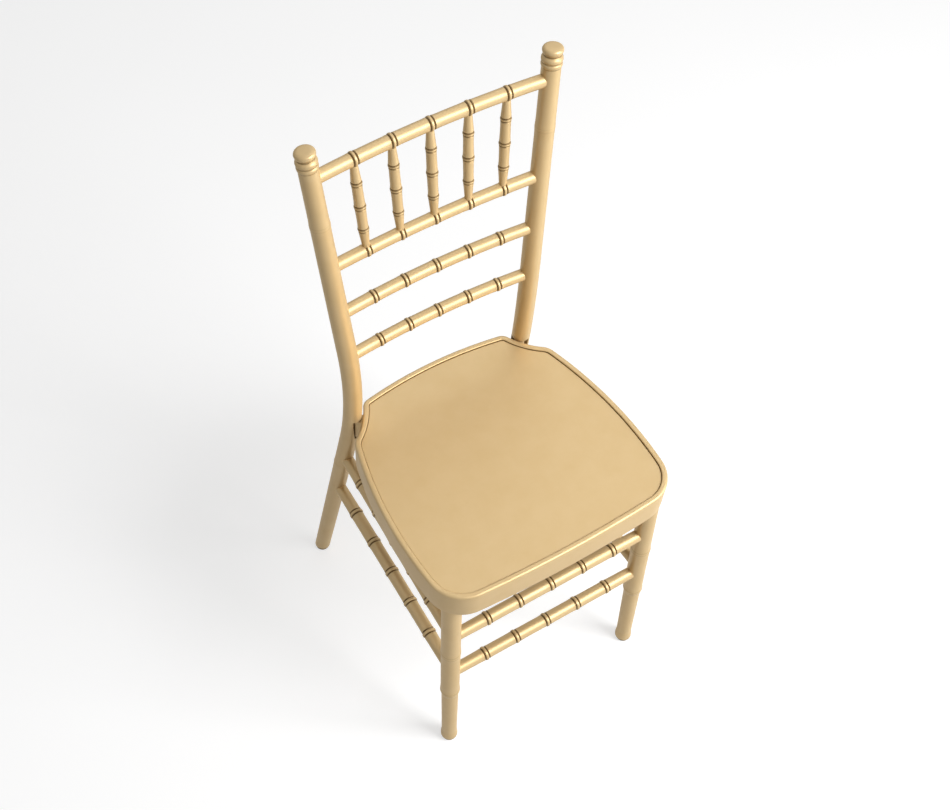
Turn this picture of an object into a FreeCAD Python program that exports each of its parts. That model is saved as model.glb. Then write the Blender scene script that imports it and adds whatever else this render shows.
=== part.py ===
import FreeCAD, Part

import math
import os

import Sketcher
from FreeCAD import Placement, Rotation, Vector

# A chiavari chair: bamboo-turned banquet chair of painted beech
#
# Millimetres. +Z is up, the floor is Z = 0, the sitter faces -Y and +X is to the right of
# someone who looks at the front of the chair. The origin is on the floor, midway between
# the front and the rear feet, and the chair mirrors about X = 0.

# Driving sizes: name, value, what it is
SIZES = [
    ("front_foot_half", 164.5, "front leg axis to the middle, at the floor"),
    ("front_foot_front", 196.5, "front leg axis ahead of the origin, at the floor"),
    ("front_top_half", 159.0, "front leg axis to the middle, under the seat"),
    ("front_top_front", 170.0, "front leg axis ahead of the origin, under the seat"),
    ("rear_foot_half", 170.5, "rear post axis to the middle, at the floor"),
    ("rear_foot_back", 197.5, "rear post axis behind the origin, at the floor"),
    ("post_bend_half", 133.2, "rear post bend point to the middle"),
    ("post_bend_back", 115.0, "rear post bend point behind the origin"),
    ("post_bend_height", 484.0, "rear post bend point above the floor"),
    ("post_bend_radius", 690.0, "radius of the bend on the post axis"),
    ("post_top_half", 159.5, "post axis to the middle, at the knob"),
    ("post_top_back", 158.5, "post axis behind the origin, at the knob"),
    ("knob_height", 906.0, "widest ring of the knob above the floor"),
    ("post_radius", 13.1, "rear post at the seat"),
    ("post_foot_radius", 12.1, "rear post at the floor"),
    ("post_neck_radius", 11.8, "rear post under the finial"),
    ("finial_drop", 28.0, "knob's widest ring down to the finial's foot"),
    ("knob_radius", 12.8, "knob of the finial"),
    ("knob_top_radius", 9.2, "flat top of the knob"),
    ("knob_rise", 6.5, "widest ring of the knob up to its flat top"),
    ("neck_radius", 9.6, "waist between knob and collar"),
    ("collar_radius", 13.6, "collar of the finial"),
    ("ring_radius", 12.9, "thin ring under the collar"),
    ("ring_foot_share", 0.08, "foot of the thin ring, as a share of the finial's drop"),
    ("ring_top_share", 0.20, "top of the thin ring, as a share of the drop"),
    ("groove_share", 0.25, "groove over the thin ring, as a share of the drop"),
    ("collar_foot_share", 0.36, "foot of the collar, as a share of the drop"),
    ("collar_top_share", 0.54, "top of the collar, as a share of the drop"),
    ("waist_foot_share", 0.64, "foot of the waist, as a share of the drop"),
    ("waist_top_share", 0.69, "top of the waist, as a share of the drop"),
    ("knob_under_share", 0.84, "underside of the knob, as a share of the drop"),
    ("collar_taper", 0.6, "how much the collar narrows upwards"),
    ("knob_under_taper", 1.2, "how much the knob narrows at its underside"),
    ("knob_over_taper", 0.9, "how much the knob narrows at its shoulder"),
    ("knob_shoulder_share", 0.6, "shoulder of the knob, as a share of its rise"),
    ("seat_top", 447.0, "rim of the seat above the floor"),
    ("skirt_height", 47.0, "seat frame, top to bottom"),
    ("seat_front", 202.5, "middle of the front edge ahead of the origin"),
    ("seat_front_bow", 8.0, "how far the front edge bows out"),
    ("seat_half_width", 184.8, "widest point of the seat to the middle"),
    ("seat_wide_front", 95.0, "widest point of the seat ahead of the origin"),
    ("shoulder_half", 158.5, "rear end of the side edge to the middle"),
    ("shoulder_back", 84.0, "rear end of the side edge behind the origin"),
    ("scoop_depth", 5.0, "hollow of the scoop that clears the post"),
    ("back_corner_half", 115.0, "rear corner of the seat to the middle"),
    ("seat_back", 146.5, "middle of the rear edge behind the origin"),
    ("seat_back_bow", 11.0, "how far the rear edge bows out"),
    ("front_corner_radius", 52.0, "rounding of the front corners"),
    ("shoulder_radius", 26.0, "rounding where the side meets the scoop"),
    ("back_corner_radius", 15.0, "rounding where the scoop meets the back"),
    ("least_rounding", 5.0, "tightest corner inside the frame"),
    ("rim_rounding", 3.5, "rounding of the rim's outer edge"),
    ("rim_width", 8.0, "flat rim round the panel"),
    ("wall", 28.0, "seat frame rail, outside to inside"),
    ("panel_drop", 2.5, "rim down to the top of the panel"),
    ("panel_thickness", 6.0, "seat panel"),
    ("panel_gap", 0.3, "panel edge to frame, all round"),
    ("lug_width", 14.0, "lug across"),
    ("lug_top_drop", 7.0, "rim down to the top of the lug"),
    ("lug_foot_rise", 3.0, "underside of the frame up to the lug"),
    ("notch_depth", 9.8, "notch into the post at the height of the rim"),
    ("notch_above", 3.0, "notch above the rim"),
    ("notch_below", 1.5, "notch below the frame"),
    ("lug_gap", 0.2, "lug end to the wall of the notch"),
    ("leg_radius", 13.7, "front leg"),
    ("leg_ankle_radius", 12.2, "front leg at its thinnest, above the foot"),
    ("leg_ankle_height", 34.0, "thinnest place of the front leg"),
    ("leg_foot_radius", 12.8, "front leg at the foot"),
    ("leg_ring_low", 158.0, "lower ring of the front leg above the floor"),
    ("leg_ring_high", 270.0, "upper ring of the front leg above the floor"),
    ("leg_ring_rise", 1.0, "ring of the front leg above its surface"),
    ("leg_ring_half", 6.0, "half of the ring along the front leg"),
    ("leg_tenon_radius", 9.0, "tenon of the front leg in the seat frame"),
    ("leg_tenon_depth", 22.0, "tenon of the front leg, its length"),
    ("rail_radius", 8.1, "back rail"),
    ("rail_socket", 7.0, "how far a back rail goes into the post"),
    ("top_rail_drop", 37.0, "knob's widest ring down to the top rail"),
    ("spindle_rail_drop", 135.0, "top rail down to the spindle rail"),
    ("upper_rail_drop", 80.0, "spindle rail down to the upper plain rail"),
    ("lower_rail_drop", 79.0, "upper plain rail down to the lower plain rail"),
    ("top_rail_bow", 8.0, "how far the top rail bows back"),
    ("spindle_rail_bow", 6.0, "how far the spindle rail bows back"),
    ("upper_rail_bow", 7.5, "how far the upper plain rail bows back"),
    ("lower_rail_bow", 7.5, "how far the lower plain rail bows back"),
    ("stretcher_radius", 9.4, "stretcher"),
    ("stretcher_end_radius", 7.0, "stretcher where it enters a leg"),
    ("stretcher_socket", 9.0, "how far a stretcher goes into a leg"),
    ("front_upper_height", 309.0, "upper front stretcher above the floor"),
    ("front_lower_height", 207.0, "lower front stretcher above the floor"),
    ("side_upper_front_height", 320.0, "upper side stretcher at the front leg"),
    ("side_upper_rear_height", 331.0, "upper side stretcher at the rear post"),
    ("side_lower_front_height", 221.5, "lower side stretcher at the front leg"),
    ("side_lower_rear_height", 237.0, "lower side stretcher at the rear post"),
    ("node_rise", 1.3, "bamboo node above a rail or stretcher"),
    ("node_half", 4.2, "half of a bamboo node along the rail"),
    ("node_gaps", 6.2, "node pitches from one post axis to the other"),
    ("node_sunk", 0.3, "how far a back rail's node goes into the rail"),
    ("spindle_end_radius", 4.8, "spindle where it enters a rail"),
    ("spindle_radius", 6.9, "spindle at its middle node"),
    ("spindle_shoulder_radius", 6.3, "spindle at its outer nodes"),
    ("spindle_shoulder_share", 0.2, "outer node of a spindle, as a share of its length"),
    ("spindle_socket", 4.5, "how far a spindle goes into a rail"),
    ("glide_radius", 11.0, "glide under a foot"),
    ("glide_height", 4.0, "glide under a foot"),
    ("glide_chamfer", 1.2, "bevel of the glide's lower edge"),
    ("glide_pin_radius", 3.5, "pin of the glide"),
    ("glide_pin_length", 14.0, "pin of the glide"),
    ("socket_gap", 0.15, "radial clearance of every tenon and pin"),
    ("socket_end_gap", 0.5, "clearance past the end of every tenon and pin"),
    ("cut_reach", 3.0, "how far a cutting tool reaches past the face it opens"),
]

NODES_PER_RAIL = 5

doc = FreeCAD.newDocument("ChiavariChair")


def fill_sheet(name, rows):
    """A sheet of plain numbers, each with its word as alias."""
    sheet = doc.addObject("Spreadsheet::Sheet", name)
    for row, (alias, value, note) in enumerate(rows, start=1):
        sheet.set("A%d" % row, alias)
        sheet.set("B%d" % row, repr(float(value)))
        sheet.setAlias("B%d" % row, alias)
        sheet.set("C%d" % row, note)
    doc.recompute()
    return sheet


sizes = fill_sheet("Sizes", SIZES)


def size(alias):
    return float(sizes.get(alias))


# Axes of the legs and posts

SIDES = {"left": -1.0, "right": 1.0}
UP = Vector(0, 0, 1)
SEAT_BOTTOM = size("seat_top") - size("skirt_height")


def along(start, end, height):
    """The point of a straight axis at a height above the floor."""
    share = (height - start.z) / (end.z - start.z)
    return start + (end - start) * share


def leg_axis(side, height):
    """The front leg's axis at a height."""
    foot = Vector(side * size("front_foot_half"), -size("front_foot_front"), 0)
    top = Vector(side * size("front_top_half"), -size("front_top_front"), SEAT_BOTTOM)
    return along(foot, top, height)


class PostAxis:
    """Straight from the foot, a tangent bend about the seat, straight to the knob."""

    def __init__(self, side):
        self.knob = Vector(side * size("post_top_half"), size("post_top_back"), size("knob_height"))
        self.bend = Vector(
            side * size("post_bend_half"), size("post_bend_back"), size("post_bend_height")
        )
        self.foot = Vector(side * size("rear_foot_half"), size("rear_foot_back"), 0)
        up = (self.knob - self.bend).normalize()
        down = (self.foot - self.bend).normalize()
        radius = size("post_bend_radius")
        half = up.getAngle(down) / 2
        self.turn = math.pi - 2 * half
        self.high = self.bend + up * (radius / math.tan(half))
        self.low = self.bend + down * (radius / math.tan(half))
        self.centre = self.bend + (up + down).normalize() * (radius / math.sin(half))
        self.normal = (self.low - self.centre).cross(self.high - self.centre).normalize()

    def at(self, height):
        """The point of the axis at a height above the floor."""
        if height >= self.high.z:
            return along(self.bend, self.knob, height)
        if height <= self.low.z:
            return along(self.foot, self.bend, height)
        low, high = 0.0, self.turn
        for _ in range(50):
            middle = (low + high) / 2
            if self.on_bend(middle).z < height:
                low = middle
            else:
                high = middle
        return self.on_bend(low)

    def on_bend(self, angle):
        turned = Rotation(self.normal, math.degrees(angle))
        return self.centre + turned.multVec(self.low - self.centre)


posts = {name: PostAxis(side) for name, side in SIDES.items()}


def between(start, end):
    """The placement that puts a piece's own Z axis on the line from start to end."""
    return Placement(start, Rotation(UP, end - start))


# Pieces that are turned on a lathe: a profile sketch and its revolution


def origin_plane(body, role):
    return next(f for f in body.Origin.OriginFeatures if f.Role == role)


def turned_body(label, stations, placement):
    """A body revolved about its own Z axis. A station is a height and a radius, as
    expressions on the sheets; the profile closes along the axis."""
    body = doc.addObject("PartDesign::Body", label)
    body.Label = label
    sketch = body.newObject("Sketcher::SketchObject", label + "_profile")
    sketch.AttachmentSupport = [(origin_plane(body, "XZ_Plane"), "")]
    sketch.MapMode = "FlatFace"
    corners = [(stations[0][0], None)] + list(stations) + [(stations[-1][0], None)]
    rough = [Vector(0 if r is None else 5, 3 * i, 0) for i, (_, r) in enumerate(corners)]
    count = len(corners)
    for i in range(count):
        sketch.addGeometry(Part.LineSegment(rough[i], rough[(i + 1) % count]), False)
    for i in range(count):
        sketch.addConstraint(Sketcher.Constraint("Coincident", i, 2, (i + 1) % count, 1))
    for i, (height, radius) in enumerate(corners):
        if radius is None:
            sketch.addConstraint(Sketcher.Constraint("PointOnObject", i, 1, -2))
        else:
            bind(sketch, "DistanceX", i, rough[i].x, radius)
        if height == "0":
            sketch.addConstraint(Sketcher.Constraint("PointOnObject", i, 1, -1))
        else:
            bind(sketch, "DistanceY", i, rough[i].y + 1, height)
    revolution = body.newObject("PartDesign::Revolution", label + "_turning")
    revolution.Profile = sketch
    revolution.ReferenceAxis = (sketch, ["V_Axis"])
    revolution.Angle = 360
    body.Tip = revolution
    sketch.Visibility = False
    body.Placement = placement
    return body


def bind(sketch, kind, corner, rough, expression):
    """Tie one corner's distance from the sketch's origin to the sheets."""
    index = sketch.addConstraint(Sketcher.Constraint(kind, -1, 1, corner, 1, rough))
    sketch.setExpression("Constraints[%d]" % index, expression)


def cylinder(label, radius, height, placement):
    """A cylinder whose radius and height are expressions on the sheets."""
    tool = doc.addObject("Part::Cylinder", label)
    tool.setExpression("Radius", radius)
    tool.setExpression("Height", height)
    tool.Placement = placement
    return tool


def cut(label, base, tools):
    """The base less its tools, under the node's own label."""
    joined = doc.addObject("Part::MultiFuse", label + "_tools")
    joined.Shapes = tools
    result = doc.addObject("Part::Cut", label)
    result.Base = base
    result.Tool = joined if len(tools) > 1 else tools[0]
    if len(tools) == 1:
        doc.removeObject(joined.Name)
    result.Label = label
    return result


def socket(label, mouth, inward, radius, depth):
    """A blind round socket, a clearance wider and deeper than the tenon of that radius
    and depth. The tool starts outside the mouth, because most mouths are askew."""
    return cylinder(
        label,
        "Sizes.%s + Sizes.socket_gap" % radius,
        "Sizes.%s + Sizes.socket_end_gap + Sizes.cut_reach" % depth,
        Placement(mouth - inward * size("cut_reach"), Rotation(UP, inward)),
    )


# Where each stretcher runs


class Stretcher:
    """A turned bar between two axes, sunk into both by the socket depth."""

    def __init__(self, name, start, start_radius, end, end_radius):
        self.name = name
        self.way = (end - start).normalize()
        self.first_mouth = start + self.way * start_radius
        self.last_mouth = end - self.way * end_radius
        self.start = self.first_mouth - self.way * size("stretcher_socket")
        self.end = self.last_mouth + self.way * size("stretcher_socket")
        self.length = (self.end - self.start).Length
        self.pitch = (end - start).Length / size("node_gaps")


def leg_radius_at(height):
    """The front leg swells from its ankle to its lower ring and then keeps its size."""
    share = (height - size("leg_ankle_height")) / (size("leg_ring_low") - size("leg_ankle_height"))
    share = min(max(share, 0.0), 1.0)
    return size("leg_ankle_radius") + share * (size("leg_radius") - size("leg_ankle_radius"))


def post_radius_at(name, height):
    """The rear post tapers from its bend to its foot and to its finial."""
    post = posts[name]
    if height < post.low.z:
        share = height / post.low.z
        return size("post_foot_radius") + share * (size("post_radius") - size("post_foot_radius"))
    top = size("knob_height") - size("finial_drop")
    share = max(0.0, (height - post.high.z) / (top - post.high.z))
    return size("post_radius") + share * (size("post_neck_radius") - size("post_radius"))


def front_stretcher(name, height):
    radius = leg_radius_at(height)
    return Stretcher(name, leg_axis(-1, height), radius, leg_axis(1, height), radius)


def side_stretcher(name, side_name, front_height, rear_height):
    return Stretcher(
        name,
        leg_axis(SIDES[side_name], front_height),
        leg_radius_at(front_height),
        posts[side_name].at(rear_height),
        post_radius_at(side_name, rear_height),
    )


front_stretchers = [
    front_stretcher("front_stretcher_upper", size("front_upper_height")),
    front_stretcher("front_stretcher_lower", size("front_lower_height")),
]
side_stretchers = {
    name: [
        side_stretcher(
            "side_stretcher_%s_upper" % name,
            name,
            size("side_upper_front_height"),
            size("side_upper_rear_height"),
        ),
        side_stretcher(
            "side_stretcher_%s_lower" % name,
            name,
            size("side_lower_front_height"),
            size("side_lower_rear_height"),
        ),
    ]
    for name in SIDES
}


# Where each bowed back rail runs


class BackRail:
    """A level arc from post to post that bows back by its sagitta."""

    def __init__(self, name, height, bow):
        self.name = name
        self.height = height
        end = posts["right"].at(height)
        self.half = end.x
        self.bow = bow
        self.radius = (self.half**2 + bow**2) / (2 * bow)
        self.centre = Vector(0, end.y + bow - self.radius, height)
        self.post_radius = post_radius_at("right", height)
        self.pitch = 2 * self.half / size("node_gaps")

    def at(self, x):
        """The point of the arc at a distance from the middle."""
        back = math.sqrt(self.radius**2 - x**2)
        return self.centre + Vector(x, back, 0)

    def way(self, x):
        """The arc's own direction there, towards +X."""
        out = self.at(x) - self.centre
        return Vector(out.y, -out.x, 0).normalize()

    def node_places(self):
        middle = (NODES_PER_RAIL - 1) / 2
        return [(i - middle) * self.pitch for i in range(NODES_PER_RAIL)]

    def mouth(self, side):
        """Where the rail's axis enters the post."""
        x = self.half - self.post_radius
        return self.at(side * x)

    def tip(self, side):
        x = self.half - self.post_radius + size("rail_socket")
        return self.at(side * x)


def hung_rail(name, above, word):
    """The back rail that hangs its own drop below a height."""
    return BackRail(name, above - size(word + "_drop"), size(word + "_bow"))


top_rail = hung_rail("top_rail", size("knob_height"), "top_rail")
spindle_rail = hung_rail("spindle_rail", top_rail.height, "spindle_rail")
upper_rail = hung_rail("upper_back_rail", spindle_rail.height, "upper_rail")
lower_rail = hung_rail("lower_back_rail", upper_rail.height, "lower_rail")
back_rails = [top_rail, spindle_rail, upper_rail, lower_rail]


# Spindles stand on the nodes of the two upper rails


class Spindle:
    """A turned bar from a node of the spindle rail up to the same node of the top rail."""

    def __init__(self, index):
        self.name = "spindle_%d" % (index + 1)
        below = spindle_rail.at(spindle_rail.node_places()[index])
        above = top_rail.at(top_rail.node_places()[index])
        self.way = (above - below).normalize()
        self.low_mouth = below + self.way * size("rail_radius")
        self.high_mouth = above - self.way * size("rail_radius")
        self.start = self.low_mouth - self.way * size("spindle_socket")
        self.length = (self.high_mouth - self.low_mouth).Length + 2 * size("spindle_socket")


spindles = [Spindle(i) for i in range(NODES_PER_RAIL)]


# The lengths that follow from the driving sizes, for the sketches to read

layout_rows = []
for bar in front_stretchers + side_stretchers["left"]:
    short = bar.name.replace("_left", "")
    layout_rows.append((short + "_length", bar.length, "tip to tip"))
    layout_rows.append((short + "_pitch", bar.pitch, "node to node"))
for bar in spindles:
    layout_rows.append((bar.name + "_length", bar.length, "tip to tip"))
leg_base = leg_axis(1, size("glide_height"))
leg_shoulder = leg_axis(1, SEAT_BOTTOM)
leg_length = (leg_shoulder - leg_base).Length
layout_rows.append(("leg_length", leg_length, "foot to shoulder, along the leg"))
fill_sheet("Layout", layout_rows)


# Front legs


def leg_ring(height):
    """Three stations of one swollen ring of the front leg."""
    return [
        ("Sizes.%s - Sizes.leg_ring_half" % height, "Sizes.leg_radius"),
        ("Sizes.%s" % height, "Sizes.leg_radius + Sizes.leg_ring_rise"),
        ("Sizes.%s + Sizes.leg_ring_half" % height, "Sizes.leg_radius"),
    ]


def front_leg(side_name):
    """A tapered leg with two swollen rings, tenoned up into the seat frame, socketed for
    the stretchers and cut level at the foot."""
    side = SIDES[side_name]
    name = "front_leg_" + side_name
    foot = leg_axis(side, 0)
    top = leg_axis(side, SEAT_BOTTOM)
    stations = [
        ("0", "Sizes.leg_foot_radius"),
        ("Sizes.glide_height * 3", "Sizes.leg_foot_radius"),
        ("Sizes.leg_ankle_height", "Sizes.leg_ankle_radius"),
    ]
    stations += leg_ring("leg_ring_low") + leg_ring("leg_ring_high")
    shoulder = "Layout.leg_length + Sizes.glide_height"
    stations += [
        (shoulder, "Sizes.leg_radius"),
        (shoulder, "Sizes.leg_tenon_radius"),
        (shoulder + " + Sizes.leg_tenon_depth", "Sizes.leg_tenon_radius"),
    ]
    blank = turned_body(name + "_blank", stations, between(foot, top))
    tools = [floor_block(name + "_floor"), glide_bore(name + "_glide_bore", foot)]
    for bar in front_stretchers:
        mouth = bar.first_mouth if side < 0 else bar.last_mouth
        inward = bar.way * side
        tools.append(stretcher_socket(name + "_" + bar.name, mouth, inward))
    for bar in side_stretchers[side_name]:
        tools.append(stretcher_socket(name + "_" + bar.name, bar.first_mouth, bar.way * -1))
    return cut(name, blank, tools)


def stretcher_socket(label, mouth, inward):
    return socket(label, mouth, inward, "stretcher_end_radius", "stretcher_socket")


def floor_block(label):
    """What lies lower than the top of the glides."""
    block = doc.addObject("Part::Box", label)
    block.setExpression("Length", "4 * Sizes.front_foot_half")
    block.setExpression("Width", "4 * Sizes.front_foot_front")
    block.setExpression("Height", "4 * Sizes.glide_height")
    corner = Vector(
        -2 * size("front_foot_half"), -2 * size("front_foot_front"), -3 * size("glide_height")
    )
    block.Placement = Placement(corner, Rotation())
    return block


def glide_bore(label, foot):
    mouth = Vector(foot.x, foot.y, size("glide_height"))
    return socket(label, mouth, UP, "glide_pin_radius", "glide_pin_length")


# Glides


def glide(name, foot):
    """A bevelled disc with a pin that is driven up into the foot."""
    stations = [
        ("0", "Sizes.glide_radius - Sizes.glide_chamfer"),
        ("Sizes.glide_chamfer", "Sizes.glide_radius"),
        ("Sizes.glide_height", "Sizes.glide_radius"),
        ("Sizes.glide_height", "Sizes.glide_pin_radius"),
        ("Sizes.glide_height + Sizes.glide_pin_length", "Sizes.glide_pin_radius"),
    ]
    return turned_body(name, stations, Placement(Vector(foot.x, foot.y, 0), Rotation()))


# Stretchers


def node_stations(middle, radius):
    """Three stations of one bamboo node about a place along the bar."""
    return [
        ("%s - Sizes.node_half" % middle, radius),
        (middle, "%s + Sizes.node_rise" % radius),
        ("%s + Sizes.node_half" % middle, radius),
    ]


def stretcher(bar):
    """A bar with five bamboo nodes that thins towards both sockets."""
    short = bar.name.replace("_left", "").replace("_right", "")
    length = "Layout.%s_length" % short
    stations = [("0", "Sizes.stretcher_end_radius")]
    stations.append(("Sizes.stretcher_socket", "Sizes.stretcher_end_radius"))
    half = (NODES_PER_RAIL - 1) / 2
    for i in range(NODES_PER_RAIL):
        middle = "%s / 2 + (%g) * Layout.%s_pitch" % (length, i - half, short)
        stations += node_stations(middle, "Sizes.stretcher_radius")
    stations.append((length + " - Sizes.stretcher_socket", "Sizes.stretcher_end_radius"))
    stations.append((length, "Sizes.stretcher_end_radius"))
    return turned_body(bar.name, stations, between(bar.start, bar.end))


# Spindles


def spindle(bar):
    """Slim at both ends and fullest at the middle, with an outer node near each end."""
    length = "Layout.%s_length" % bar.name
    shoulder = length + " * Sizes.spindle_shoulder_share"
    stations = [
        ("0", "Sizes.spindle_end_radius"),
        ("Sizes.spindle_socket", "Sizes.spindle_end_radius"),
        (shoulder, "Sizes.spindle_shoulder_radius"),
        (length + " / 2", "Sizes.spindle_radius"),
        ("%s - %s" % (length, shoulder), "Sizes.spindle_shoulder_radius"),
        (length + " - Sizes.spindle_socket", "Sizes.spindle_end_radius"),
        (length, "Sizes.spindle_end_radius"),
    ]
    return turned_body(bar.name, stations, between(bar.start, bar.start + bar.way))


# Back rails


def ridge(radius):
    """One bamboo node about the origin along Z: two cones, base to base, that go a little
    way into the rail."""
    rise = size("node_rise")
    sunk = size("node_sunk")
    half = size("node_half") * (rise + sunk) / rise
    low = Part.makeCone(radius - sunk, radius + rise, half, Vector(0, 0, -half))
    high = Part.makeCone(radius + rise, radius - sunk, half)
    return low.fuse(high)


def rail_blank(rail):
    """A round bar on the rail's arc with its five nodes."""
    start = rail.tip(-1)
    disc = Part.Face(Part.Wire(Part.makeCircle(size("rail_radius"), start, rail.way(start.x))))
    spread = 2 * math.degrees(math.asin(rail.tip(1).x / rail.radius))
    bar = disc.revolve(rail.centre, UP, -spread)
    nodes = []
    for x in rail.node_places():
        node = ridge(size("rail_radius"))
        node.Placement = Placement(rail.at(x), Rotation(UP, rail.way(x)))
        nodes.append(node)
    return bar.fuse(nodes).removeSplitter()


def back_rail(rail):
    """The bowed rail, with spindle sockets where it carries spindles."""
    sockets = []
    if rail is top_rail:
        sockets = [(bar, bar.high_mouth, bar.way) for bar in spindles]
    if rail is spindle_rail:
        sockets = [(bar, bar.low_mouth, bar.way * -1) for bar in spindles]
    name = rail.name + "_blank" if sockets else rail.name
    blank = doc.addObject("Part::Feature", name)
    blank.Shape = rail_blank(rail)
    blank.Label = name
    if not sockets:
        return blank
    tools = [
        spindle_socket("%s_%s" % (rail.name, bar.name), mouth, inward)
        for bar, mouth, inward in sockets
    ]
    return cut(rail.name, blank, tools)


def spindle_socket(label, mouth, inward):
    """Opened outwards far enough to clear the bamboo node round its mouth."""
    clear = size("node_rise") + size("cut_reach")
    return cylinder(
        label,
        "Sizes.spindle_end_radius + Sizes.socket_gap",
        "Sizes.spindle_socket + Sizes.socket_end_gap + Sizes.node_rise + Sizes.cut_reach",
        Placement(mouth - inward * clear, Rotation(UP, inward)),
    )


# Rear posts


def cone_between(start, start_radius, end, end_radius):
    reach = end - start
    return Part.makeCone(start_radius, end_radius, reach.Length, start, reach)


def finial(post):
    """Knob, waist, collar and thin ring, turned on the end of the post."""
    drop = size("finial_drop")
    knob = size("knob_radius")
    collar = size("collar_radius")
    shoulder = drop + size("knob_shoulder_share") * size("knob_rise")
    profile = [
        (0.0, 0.0),
        (size("post_neck_radius"), 0.0),
        (size("ring_radius"), size("ring_foot_share") * drop),
        (size("ring_radius"), size("ring_top_share") * drop),
        (size("post_neck_radius"), size("groove_share") * drop),
        (collar, size("collar_foot_share") * drop),
        (collar - size("collar_taper"), size("collar_top_share") * drop),
        (size("neck_radius"), size("waist_foot_share") * drop),
        (size("neck_radius"), size("waist_top_share") * drop),
        (knob - size("knob_under_taper"), size("knob_under_share") * drop),
        (knob, drop),
        (knob - size("knob_over_taper"), shoulder),
        (size("knob_top_radius"), drop + size("knob_rise")),
        (0.0, drop + size("knob_rise")),
    ]
    points = [Vector(radius, 0, height) for radius, height in profile]
    points.append(points[0])
    turned = Part.Face(Part.makePolygon(points)).revolve(Vector(), UP, 360)
    base = post.at(size("knob_height") - drop)
    turned.Placement = between(base, post.knob)
    return turned


def post_blank(name):
    """Two tapers joined by a bend of one radius, with the finial on top."""
    post = posts[name]
    section = Part.Face(
        Part.Wire(Part.makeCircle(size("post_radius"), post.low, post.low - post.foot))
    )
    bend = section.revolve(post.centre, post.normal, math.degrees(post.turn))
    lower = cone_between(post.foot, size("post_foot_radius"), post.low, size("post_radius"))
    neck = post.at(size("knob_height") - size("finial_drop"))
    upper = cone_between(post.high, size("post_radius"), neck, size("post_neck_radius"))
    return lower.fuse([bend, upper, finial(post)])


def scoop_chord(side):
    """The two sharp ends of the scoop at a rear corner of the seat, side end first."""
    shoulder = Vector(side * size("shoulder_half"), size("shoulder_back"), 0)
    corner = Vector(
        side * size("back_corner_half"), size("seat_back") - size("seat_back_bow"), 0
    )
    return shoulder, corner


def lug_way(side):
    """Square out of the scoop, towards the post."""
    shoulder, corner = scoop_chord(side)
    run = (corner - shoulder).normalize()
    return Vector(run.y, -run.x, 0) * side


def notch_wall(side_name):
    """The middle of the notch's flat wall, at the height of the rim."""
    side = SIDES[side_name]
    axis = posts[side_name].at(size("seat_top"))
    return axis - lug_way(side) * (size("post_radius") - size("notch_depth"))


def notch(side_name):
    """The flat notch that takes the seat's lug, open towards the seat."""
    box = doc.addObject("Part::Box", "back_post_%s_notch" % side_name)
    box.setExpression("Length", "4 * Sizes.post_radius")
    box.setExpression("Width", "4 * Sizes.post_radius")
    box.setExpression("Height", "Sizes.skirt_height + Sizes.notch_above + Sizes.notch_below")
    way = lug_way(SIDES[side_name])
    turned = Rotation(Vector(1, 0, 0), way * -1)
    corner = notch_wall(side_name)
    corner.z = SEAT_BOTTOM - size("notch_below")
    corner = corner - turned.multVec(Vector(0, 1, 0)) * (2 * size("post_radius"))
    box.Placement = Placement(corner, turned)
    return box


def back_post(side_name):
    """The bent rear post, with its finial, sockets, notch and level foot."""
    side = SIDES[side_name]
    name = "back_post_" + side_name
    blank = doc.addObject("Part::Feature", name + "_blank")
    blank.Shape = post_blank(side_name)
    base = posts[side_name].at(size("glide_height"))
    tools = [floor_block(name + "_floor"), glide_bore(name + "_glide_bore", base)]
    tools.append(notch(side_name))
    for rail in back_rails:
        mouth = rail.mouth(side)
        inward = rail.way(mouth.x) * side
        label = name + "_" + rail.name
        tools.append(socket(label, mouth, inward, "rail_radius", "rail_socket"))
    for bar in side_stretchers[side_name]:
        tools.append(stretcher_socket(name + "_" + bar.name, bar.last_mouth, bar.way))
    return cut(name, blank, tools)


# Seat frame and panel


def mirrored(point):
    return Vector(-point.x, point.y, point.z)


class EdgeCircle:
    """The circle that one bowed edge of the seat lies on. A hollow one has the seat
    outside it."""

    def __init__(self, centre, radius, hollow=False):
        self.centre = centre
        self.radius = radius
        self.hollow = hollow

    def moved_in(self, distance):
        """The circle of the same edge, that far inside the seat."""
        change = distance if self.hollow else -distance
        return EdgeCircle(self.centre, self.radius + change, self.hollow)

    def foot_of(self, point):
        """The point of the circle on the ray from its centre through a point."""
        return self.centre + (point - self.centre).normalize() * self.radius

    def meet(self, other, near):
        """The crossing with another circle that lies nearer to a point."""
        across = other.centre - self.centre
        gap = across.Length
        share = (self.radius**2 - other.radius**2 + gap**2) / (2 * gap)
        rise = math.sqrt(self.radius**2 - share**2)
        way = across / gap
        side = Vector(-way.y, way.x, 0) * rise
        middle = self.centre + way * share
        return min([middle + side, middle - side], key=lambda p: (p - near).Length)


def bowed(end_half, end_y, middle_y):
    """The circle through (0, middle_y) and (+-end_half, end_y)."""
    bow = middle_y - end_y
    reach = (end_half**2 + bow**2) / (2 * bow)
    return EdgeCircle(Vector(0, middle_y - reach, 0), abs(reach))


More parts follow.
